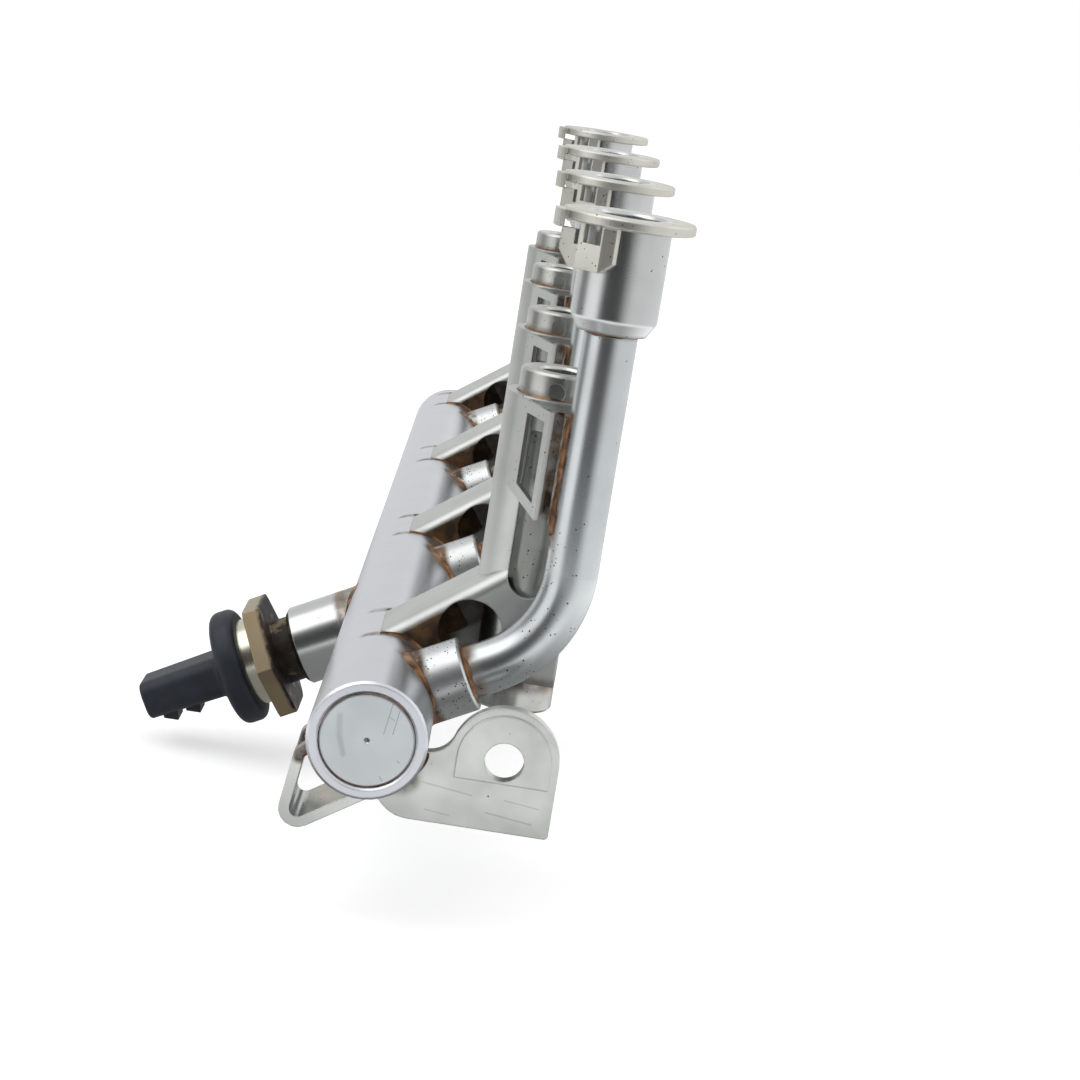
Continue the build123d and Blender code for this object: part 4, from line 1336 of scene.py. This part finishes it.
@dataclass
class BoltPost:
    """One unit's bolt sleeve with the folded bracket round it and the pipe support."""

    number: int
    half_width: float = 10.0
    sleeve_radius: float = 8.0
    wrap_top_z: float = -4.8
    wrap_foot_z: float = -59.3
    cradle: tuple[float, float] = (95.0, 192.0)
    wrap_radius: float = 10.0
    support_top_z: float = -5.2
    support_foot_z: float = -25.6
    support_far_height: float = 17.0
    support_sheet: float = 1.0
    support_bar: float = 2.2
    support_far_bar: float = 4.2
    support_to_pipe: float = 2.5
    support_seat: float = 223.0
    support_sink: float = 0.8
    link_setback: float = 2.4

    def build(self, bench: Bench) -> None:
        """Dress the post's nodes and add its braze.

        Args:
            bench: The nodes and finishes.
        """
        n = self.number
        y = Layout.station(n)
        bench.dress(f"bolt_sleeve_{n}", BOLT_STEEL)
        bench.dress(f"bracket_{n}", BRACKET_STEEL)
        support = lay_mesh(f"support_frame_{n}", *self.support(y, y + Layout.CUP_SHIFT), smooth=False)
        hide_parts(f"pipe_support_{n}")
        bench.add_piece(support, SUPPORT_STEEL)
        seed = 100 + 10 * n
        near, far = y - self.half_width, y + self.half_width
        bench.add_piece(plate_seam(f"web_braze_near_{n}", near, -1, (6.0, 99.0), 0.5, 0.6, seed), BRAZE)
        bench.add_piece(plate_seam(f"web_braze_far_{n}", far, 1, (6.0, 99.0), 0.5, 0.6, seed + 2), BRAZE)
        axis = np.array([0.0, y, 0.0])
        wrap = (80.0, 280.0)
        top = axis + self.wrap_top_z * UP
        bench.add_piece(ring_seam(f"wrap_top_braze_{n}", top, UP, self.sleeve_radius, 0.3, 0.35, seed + 4, wrap), BRAZE)
        foot = axis + self.wrap_foot_z * UP
        bench.add_piece(ring_seam(f"wrap_foot_braze_{n}", foot, -UP, self.sleeve_radius, 0.7, 0.9, seed + 6, wrap), BRAZE)
        bench.add_piece(self.cradle_braze(y + Layout.CUP_SHIFT, seed + 8), BRAZE)

    def support(self, y: float, cup_y: float) -> Form:
        """Build the sheet frame between the bracket and the pipe.

        The windowed plate runs from its seat on the bracket to beside the pipe and grows taller on its way. A
        short link joins it to the cradle, an arc of sheet round the back of the pipe.

        Args:
            y: The bolt's Y.
            cup_y: The pipe's Y.

        Returns:
            The frame.
        """
        turn = math.radians(self.support_seat)
        top = self.support_top_z
        seat = np.array([self.wrap_radius * math.cos(turn), y + self.wrap_radius * math.sin(turn), top])
        inside = Layout.PIPE_R + 0.03
        near_x = Layout.CUP_X - Layout.PIPE_R - self.support_to_pipe - self.support_sheet
        near = np.array([near_x, cup_y, top])
        length = float(np.linalg.norm(near - seat))
        way = (near - seat) / length
        aside = np.array([-way[1], way[0], 0.0])
        tall = top - self.support_foot_z
        s = np.array([-self.support_sink, self.support_far_bar, length - self.support_bar, length])
        high = self.support_far_height + (tall - self.support_far_height) * s / length
        drop = np.stack([0 * s, 0 * s + self.support_bar, high - self.support_bar, high], axis=1)
        face = seat + s[:, None, None] * way - drop[..., None] * UP
        kept = np.full((3, 3), True)
        kept[1, 1] = False
        plate = sheet_form(face, face + self.support_sheet * aside, kept)

        levels = np.array([top, self.support_foot_z])
        t = np.radians(np.linspace(*self.cradle, 17))[:, None]
        skins = [
            np.stack(
                [Layout.CUP_X + r * np.cos(t) + 0 * levels, cup_y + r * np.sin(t) + 0 * levels, 0 * t + levels], axis=-1
            )
            for r in (inside, inside + self.support_sheet)
        ]
        cradle = sheet_form(*skins, np.full((len(t) - 1, 1), True))
        x = np.array([near_x - self.support_sheet / 2, Layout.CUP_X - inside - self.support_sheet / 2])[:, None]
        sides = [
            np.stack([x + 0 * levels, 0 * x + cup_y + self.link_setback + shift + 0 * levels, 0 * x + levels], axis=-1)
            for shift in (-self.support_sheet / 2, self.support_sheet / 2)
        ]
        link = sheet_form(*sides, np.full((1, 1), True))
        return joined([plate, cradle, link])

    def cradle_braze(self, cup_y: float, seed: int) -> bpy.types.Object:
        """Build the strip of filler between the cradle's edge and the pipe.

        Args:
            cup_y: The pipe's Y.
            seed: Chooses its unevenness.

        Returns:
            The strip.
        """
        turn = math.radians(self.cradle[1])
        out = np.array([math.cos(turn), math.sin(turn), 0.0])
        round_way = np.array([-math.sin(turn), math.cos(turn), 0.0])
        surface = np.array([Layout.CUP_X, cup_y, 0.0]) + (Layout.PIPE_R + 0.02) * out
        low = surface + (self.support_foot_z - 2.0) * UP
        high = surface + (-5.0) * UP
        slide = 0.985 * round_way - 0.17 * out
        return run_seam(f"cradle_braze_{self.number}", low, high, out, slide, 0.8, 0.9, seed)


@dataclass
class EndFittings:
    """The eye plate and the clip loop on the rail's closed end."""

    plate_near_y: float = -184.0
    plate_far_y: float = -181.5
    plate_span: tuple[float, float] = (-80.0, -11.0)
    loop_start_y: float = -187.0
    loop_width: float = 16.0
    loop_strip: float = 1.95
    loop_seat: tuple[float, float] = (-10.0, -2.3)
    loop_head: tuple[float, float] = (-12.7, -4.7)
    loop_corner: tuple[float, float] = (-15.1, -22.5)
    loop_tail: tuple[float, float] = (2.7, -10.73)
    loop_head_radius: float = 1.9
    loop_corner_radius: float = 3.5
    slot_z: tuple[float, float] = (-3.3, -6.7)
    slot_margin: float = 3.0

    def build(self, bench: Bench) -> None:
        """Dress both fittings and add their braze.

        Args:
            bench: The nodes and finishes.
        """
        bench.dress("harness_bracket", EYE_PLATE_STEEL)
        loop = lay_mesh("bent_clip_loop", *self.loop(), smooth=False)
        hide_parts("clip_loop")
        bench.add_piece(loop, LOOP_STEEL)
        for name, place, climb, spread, seed in (
            ("loop_seat_braze", (-10.72, -2.47), (-0.748, -0.664), (-0.225, 0.974), 305),
            ("loop_tail_braze", (2.83, -10.63), (-0.819, -0.574), (0.966, 0.257), 307),
        ):
            start, wall_way, floor_way = (np.array([way[0], 0.0, way[1]]) for way in (place, climb, spread))
            start = start + Layout.rail_point(self.loop_start_y + 0.4)
            end = start + (self.loop_width - 0.8) * ALONG
            bench.add_piece(run_seam(name, start, end, wall_way, floor_way, 0.8, 0.9, seed), BRAZE)
        bench.add_piece(plate_seam("eye_plate_braze_near", self.plate_near_y, -1, self.plate_span, 0.8, 1.0, 301), BRAZE)
        bench.add_piece(plate_seam("eye_plate_braze_far", self.plate_far_y, 1, self.plate_span, 0.8, 1.0, 303), BRAZE)


    def loop(self) -> Form:
        """Build the bent strip: its slotted upper leg folds in to the rail, its lower leg runs under it.

        The path across the rail is rounded at its bends, and the inner skin lies the strip's thickness to its
        side, towards the rail.

        Returns:
            The strip.
        """
        seat, head, corner, tail = (np.array(p) for p in (self.loop_seat, self.loop_head, self.loop_corner, self.loop_tail))
        slot_top = seat + (head - seat) * (self.slot_z[0] - seat[1]) / (head[1] - seat[1])
        slot_foot = head + (corner - head) * (self.slot_z[1] - head[1]) / (corner[1] - head[1])
        corners = np.stack([seat, slot_top, head, slot_foot, corner, tail])
        bends = [0.0, self.loop_head_radius, 0.0, self.loop_corner_radius]
        path = rounded_path(corners, bends)
        ways = np.gradient(path, axis=0)
        ways /= np.linalg.norm(ways, axis=1)[:, None]
        inner = path + self.loop_strip * np.stack([-ways[:, 1], ways[:, 0]], axis=1)
        y = self.loop_start_y + np.array([0.0, self.slot_margin, self.loop_width - self.slot_margin, self.loop_width])
        skins = [
            np.stack(
                [Layout.RAIL_X + line[:, :1] + 0 * y, y + 0 * line[:, :1], Layout.RAIL_Z + line[:, 1:] + 0 * y], axis=-1
            )
            for line in (path, inner)
        ]
        along = np.arange(len(path) - 1)
        in_slot = (along >= 1) & (along < 9)
        kept = np.full((len(path) - 1, 3), True)
        kept[in_slot, 1] = False
        return sheet_form(*skins, kept)


@dataclass
class PressureSensor:
    """The sensor opposite the branches, screwed into its port."""

    port_radius: float = 8.5
    collar_end: float = 34.3
    flange_radius: float = 12.5
    flange_length: float = 5.4
    flange_edge: float = 1.8
    hub_radius: float = 4.0
    shroud_length: float = 18.3
    pocket_floor: float = 9.0
    shroud_root: Point = (15.6, 11.0, 4.0)
    shroud_neck: Point = (13.6, 8.9, 3.0)
    shroud_mouth: Point = (13.4, 8.2, 3.0)
    shroud_lead: Point = (12.8, 7.6, 2.7)
    pocket: Point = (11.0, 5.8, 2.2)
    ramp_width: float = 7.0
    ramp_pitch: float = 5.1
    ramp: tuple[tuple[float, float], ...] = ((-0.6, 0.0), (0.8, 0.0), (2.2, -2.7), (-0.6, -3.5))
    ramp_setback: float = 2.4

    def build(self, bench: Bench) -> None:
        """Dress the sensor's nodes and add the braze at its port.

        Args:
            bench: The nodes and finishes.
        """
        bench.dress("sensor_port", PORT_STEEL)
        bench.dress("sensor_body", HEXAGON_BRONZE)
        bench.dress("sensor_collar", COLLAR_METAL)
        bench.dress("sensor_board", BOARD)
        bench.dress("sensor_terminals", BLADE_METAL)
        connector = lay_mesh("shrouded_connector", *self.connector(), smooth=False)
        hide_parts("sensor_connector")
        bench.add_piece(connector, CONNECTOR_PLASTIC)
        foot = Layout.rail_point(Layout.SENSOR_Y)
        bench.add_piece(saddle_seam("port_foot_braze", foot, SENSOR_WAY, self.port_radius, 0.6, 0.7, 401), BRAZE)


    def connector(self) -> Form:
        """Build the moulded connector: a round flange, a shroud with its pocket, and two lock ramps.

        The shroud is a row of round-cornered rectangles along the sensor's axis, out along its skin, round its
        mouth and back in to the pocket's floor. The ramps are prisms under it.

        Returns:
            The connector.
        """
        start = self.collar_end + self.flange_length
        end = start + self.shroud_length
        edge = [self.flange_edge, self.flange_edge]
        hub, rim = self.hub_radius, self.flange_radius
        corners = np.array([(hub, self.collar_end), (rim, self.collar_end), (rim, start), (hub, start)])
        flange = lathe_form(rounded_path(corners, edge))
        sections = (
            (self.shroud_root, start - 0.4),
            (self.shroud_neck, start + 1.6),
            (self.shroud_mouth, end - 0.4),
            (self.shroud_lead, end),
            (self.pocket, end),
            (self.pocket, self.collar_end + self.pocket_floor),
        )
        t = np.linspace(0, 2 * np.pi, 72, endpoint=False) + math.pi / 72
        rows = []
        for (width, height, corner), place in sections:
            middle = np.stack(
                [(width / 2 - corner) * np.sign(np.cos(t)), (height / 2 - corner) * np.sign(np.sin(t))], axis=1
            )
            ring = middle + corner * np.stack([np.cos(t), np.sin(t)], axis=1)
            rows.append(np.column_stack([ring, np.full(len(t), place)]))
        shroud = (np.concatenate(rows), grid_faces(len(rows), len(t), False, True))
        ramps = []
        for number in range(2):
            foot = end - self.ramp_setback - number * self.ramp_pitch
            face = np.array([(self.shroud_mouth[1] / 2 + rise, foot + back) for rise, back in self.ramp])
            cell = face[[[0, 3], [1, 2]]]
            skins = [
                np.concatenate([np.full((2, 2, 1), side * self.ramp_width / 2), cell], axis=-1) for side in (-1, 1)
            ]
            ramps.append(sheet_form(*skins, np.full((1, 1), True)))
        down = np.cross(SENSOR_WAY, ALONG)
        axes = np.stack([ALONG, down * math.copysign(1.0, -down[2]), SENSOR_WAY])
        return placed(joined([flange, shroud, *ramps]), Layout.rail_point(Layout.SENSOR_Y), axes)


@dataclass
class PhotoCamera:
    """The camera that took the photograph, from its fit.

    Its frame has X to the right, Y down and Z forward in the picture. The rail's direction is where its
    vanishing point lies, the cups' direction leans in the picture, and the near end's centre is given by its
    pixel and its distance.
    """

    focal_px: float = 2650.0
    vanishing: tuple[float, float] = (566.0, -8.7)
    lean_degrees: float = 9.0
    distance: float = 471.5
    end_pixel: tuple[float, float] = (366.6, 741.3)

    def build(self) -> None:
        """Make the camera and look through it."""
        middle = PHOTO_SIDE / 2
        along = np.array([self.vanishing[0] - middle, self.vanishing[1] - middle, self.focal_px])
        along /= np.linalg.norm(along)
        lean = math.radians(self.lean_degrees)
        up = np.array([math.sin(lean), -math.cos(lean), 0.0])
        up -= (up @ along) * along
        up /= np.linalg.norm(up)
        right = np.cross(along, up)
        to_row = np.stack([right, along, up])
        ray = np.array([(self.end_pixel[0] - middle) / self.focal_px, (self.end_pixel[1] - middle) / self.focal_px, 1.0])
        place = Layout.rail_point(Layout.NEAR_END) - to_row @ (self.distance * ray)
        turn = np.stack([to_row[:, 0], -to_row[:, 1], -to_row[:, 2]], axis=1)
        matrix = Matrix.Identity(4)
        for i in range(3):
            matrix[i][:3] = turn[i].tolist()
            matrix[i][3] = float(place[i]) * MM
        data = bpy.data.cameras.new("photo_camera")
        data.sensor_width = SENSOR_WIDTH
        data.sensor_fit = "HORIZONTAL"
        data.lens = self.focal_px * SENSOR_WIDTH / PHOTO_SIDE
        data.clip_start, data.clip_end = 0.05, 50.0
        camera = bpy.data.objects.new("photo_camera", data)
        camera.matrix_world = matrix
        bpy.context.scene.collection.objects.link(camera)
        bpy.context.scene.camera = camera


@dataclass
class Studio:
    """A white sweep under soft light, and the studio that reflections meet.

    Its walls have a level for each compass direction, in degrees from -Y towards +X: a dark flag in front,
    a bright panel and a narrow dark one to its left, and greyer walls to its right. They fade to a pale
    ceiling, and to a pale floor that carries a painted shadow close under the object, seen only in reflections.
    """

    floor_z: float = -101.0
    floor_side: float = 8000.0
    walls: tuple[tuple[float, float], ...] = (
        (-180.0, 0.85),
        (-122.0, 0.85),
        (-114.0, 0.3),
        (-92.0, 0.3),
        (-84.0, 1.2),
        (-50.0, 1.35),
        (-38.0, 0.07),
        (8.0, 0.07),
        (20.0, 0.5),
        (38.0, 0.95),
        (120.0, 1.0),
        (180.0, 0.95),
    )
    walls_most: float = 2.0
    ceiling_level: float = 1.0
    foot_level: float = 1.45
    front: Point = (0.0, -130.0, 0.0)
    # The painted shadow that darkens the floor in reflections close under the object: its box, its darkest level and
    # the reach of its fade.
    under_centre: Point = (-10.0, -14.0, 0.0)
    under_half: Point = (45.0, 176.0, 0.0)
    painted_shadow_level: float = 0.22
    under_reach: float = 110.0
    sky_level: float = 0.8

    def build(self) -> None:
        """Make the floor, the sky and the lamps."""
        self._floor()
        self._sky()
        self._lamp("key_panel", (-900.0, -300.0, 1300.0), 1500.0, 8.0)
        self._lamp("fill_panel", (1200.0, 200.0, 700.0), 1300.0, 3.0)

    def _studio_level(self, tree: bpy.types.NodeTree, way: Socket) -> Socket:
        """Build the level that a reflection meets in this direction.

        Args:
            tree: The nodes of the floor's material or of the world.
            way: The direction, of any length.

        Returns:
            The level.
        """
        split = add(tree, "ShaderNodeSeparateXYZ", {0: way})
        ahead = add(tree, "ShaderNodeMath", {0: split.outputs[1], 1: -1.0}, operation="MULTIPLY").outputs[0]
        turn = add(tree, "ShaderNodeMath", {0: split.outputs[0], 1: ahead}, operation="ARCTAN2").outputs[0]
        share = add(tree, "ShaderNodeMapRange", {0: turn, 1: -math.pi, 2: math.pi}).outputs[0]
        ramp = add(tree, "ShaderNodeValToRGB", {0: share})
        stops = ramp.color_ramp.elements
        for number, (angle, level) in enumerate(self.walls):
            place = (angle + 180.0) / 360.0
            stop = stops[number] if number < 2 else stops.new(place)
            stop.position = place
            stop.color = (*[level / self.walls_most] * 3, 1.0)
        wall = add(
            tree, "ShaderNodeMath", {0: ramp.outputs[0], 1: self.walls_most}, operation="MULTIPLY"
        ).outputs[0]
        level_way = add(tree, "ShaderNodeVectorMath", {0: way, 1: (1, 1, 0)}, operation="MULTIPLY").outputs[0]
        out = add(tree, "ShaderNodeVectorMath", {0: level_way}, operation="LENGTH").outputs["Value"]
        rise = add(tree, "ShaderNodeMath", {0: split.outputs[2], 1: out}, operation="DIVIDE").outputs[0]
        under_top = add(
            tree, "ShaderNodeMapRange", {0: rise, 1: 0.6, 2: 1.3, 3: 1.0, 4: 0.0}, interpolation_type="SMOOTHSTEP"
        ).outputs[0]
        over_foot = add(
            tree, "ShaderNodeMapRange", {0: rise, 1: -0.45, 2: -0.27}, interpolation_type="SMOOTHSTEP"
        ).outputs[0]
        inside = add(tree, "ShaderNodeMath", {0: under_top, 1: over_foot}, operation="MULTIPLY").outputs[0]
        pale = add(
            tree, "ShaderNodeMapRange", {0: rise, 1: -0.1, 2: 0.1, 3: self.foot_level, 4: self.ceiling_level}
        ).outputs[0]
        return add(tree, "ShaderNodeMix", {0: inside, 2: pale, 3: wall}, data_type="FLOAT").outputs[0]

    def _floor(self) -> None:
        """Lay a pale matt floor, whose own glow for the camera lifts it to white and keeps the shadow."""
        half = self.floor_side / 2
        points = np.array([[-half, -half, 0], [half, -half, 0], [half, half, 0], [-half, half, 0]])
        floor = lay_mesh("studio_floor", points + self.floor_z * UP, [[0, 1, 2, 3]], smooth=False)
        material = bpy.data.materials.new("matt_white_sweep")
        material.use_nodes = True
        tree = material.node_tree
        tree.nodes.clear()
        seen = add(tree, "ShaderNodeLightPath")
        place = add(tree, "ShaderNodeTexCoord").outputs["Object"]
        mm = add(tree, "ShaderNodeVectorMath", {0: place, "Scale": 1 / MM}, operation="SCALE").outputs[0]
        way = add(tree, "ShaderNodeVectorMath", {0: mm, 1: self.front}, operation="SUBTRACT").outputs[0]
        # Painted shadow: in reflections the floor's level falls to its darkest close under the object and fades out
        # over the reach.
        offset = add(tree, "ShaderNodeVectorMath", {0: mm, 1: self.under_centre}, operation="SUBTRACT").outputs[0]
        size = add(tree, "ShaderNodeVectorMath", {0: offset}, operation="ABSOLUTE").outputs[0]
        left = add(tree, "ShaderNodeVectorMath", {0: size, 1: self.under_half}, operation="SUBTRACT").outputs[0]
        outside = add(tree, "ShaderNodeVectorMath", {0: left, 1: (0, 0, 0)}, operation="MAXIMUM").outputs[0]
        flat = add(tree, "ShaderNodeVectorMath", {0: outside, 1: (1, 1, 0)}, operation="MULTIPLY").outputs[0]
        away = add(tree, "ShaderNodeVectorMath", {0: flat}, operation="LENGTH").outputs["Value"]
        under = add(
            tree, "ShaderNodeMapRange", {0: away, 1: 0.0, 2: self.under_reach, 3: self.painted_shadow_level, 4: 1.0}
        ).outputs[0]
        level = add(
            tree, "ShaderNodeMath", {0: self._studio_level(tree, way), 1: under}, operation="MULTIPLY"
        ).outputs[0]
        matt = add(tree, "ShaderNodeBsdfDiffuse", {"Color": (0.8, 0.8, 0.8, 1.0)}).outputs[0]
        glow = add(tree, "ShaderNodeEmission", {"Color": (1, 1, 1, 1), "Strength": 0.42}).outputs[0]
        lifted = add(tree, "ShaderNodeAddShader", {0: matt, 1: glow}).outputs[0]
        white = add(tree, "ShaderNodeMixShader", {0: seen.outputs["Is Camera Ray"], 1: matt, 2: lifted}).outputs[0]
        mirrored = add(tree, "ShaderNodeEmission", {"Color": (1, 1, 1, 1), "Strength": level}).outputs[0]
        bent = add(
            tree,
            "ShaderNodeMath",
            {0: seen.outputs["Is Glossy Ray"], 1: seen.outputs["Is Transmission Ray"]},
            operation="MAXIMUM",
        ).outputs[0]
        mixed = add(tree, "ShaderNodeMixShader", {0: bent, 1: white, 2: mirrored}).outputs[0]
        add(tree, "ShaderNodeOutputMaterial", {"Surface": mixed})
        floor.data.materials.append(material)

    def _sky(self) -> None:
        """Make the world: white to the camera, a plain level as light, and the studio in reflections."""
        world = bpy.data.worlds.new("soft_studio")
        bpy.context.scene.world = world
        world.use_nodes = True
        tree = world.node_tree
        tree.nodes.clear()
        seen = add(tree, "ShaderNodeLightPath")
        way = add(tree, "ShaderNodeTexCoord").outputs["Generated"]
        bent = add(
            tree,
            "ShaderNodeMath",
            {0: seen.outputs["Is Glossy Ray"], 1: seen.outputs["Is Transmission Ray"]},
            operation="MAXIMUM",
        ).outputs[0]
        mirrored = add(
            tree,
            "ShaderNodeMix",
            {0: bent, 2: self.sky_level, 3: self._studio_level(tree, way)},
            data_type="FLOAT",
        ).outputs[0]
        strength = add(
            tree, "ShaderNodeMix", {0: seen.outputs["Is Camera Ray"], 2: mirrored, 3: 1.0}, data_type="FLOAT"
        ).outputs[0]
        sky = add(tree, "ShaderNodeBackground", {"Color": (1, 1, 1, 1), "Strength": strength}).outputs[0]
        add(tree, "ShaderNodeOutputWorld", {"Surface": sky})

    def _lamp(self, name: str, place: Point, side: float, watts: float) -> None:
        """Hang a square soft panel that looks at the object's middle.

        Args:
            name: The lamp's name.
            place: Its centre in millimetres.
            side: Its side in millimetres.
            watts: Its power.
        """
        data = bpy.data.lights.new(name, "AREA")
        data.shape = "SQUARE"
        data.size = side * MM
        data.energy = watts
        lamp = bpy.data.objects.new(name, data)
        back = np.array(place) - np.array([-10.0, 0.0, -40.0])
        back /= np.linalg.norm(back)
        side_way = np.cross(UP, back)
        side_way /= np.linalg.norm(side_way)
        turn = np.stack([side_way, np.cross(back, side_way), back], axis=1)
        matrix = Matrix.Identity(4)
        for i in range(3):
            matrix[i][:3] = turn[i].tolist()
            matrix[i][3] = place[i] * MM
        lamp.matrix_world = matrix
        bpy.context.scene.collection.objects.link(lamp)


def main() -> None:
    """Load the frame, build each sub-assembly in order and light it."""
    logging.basicConfig(level=logging.INFO, format="%(name)s: %(message)s")
    bpy.context.scene.view_settings.view_transform = "Standard"
    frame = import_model()
    bench = Bench(frame["nodes"])
    PhotoCamera().build()
    RailBody().build(bench)
    for number in range(1, Layout.UNITS + 1):
        Branch(number).build(bench)
        BoltPost(number).build(bench)
    EndFittings().build(bench)
    PressureSensor().build(bench)
    Studio().build()


if __name__ == "__main__":
    main()
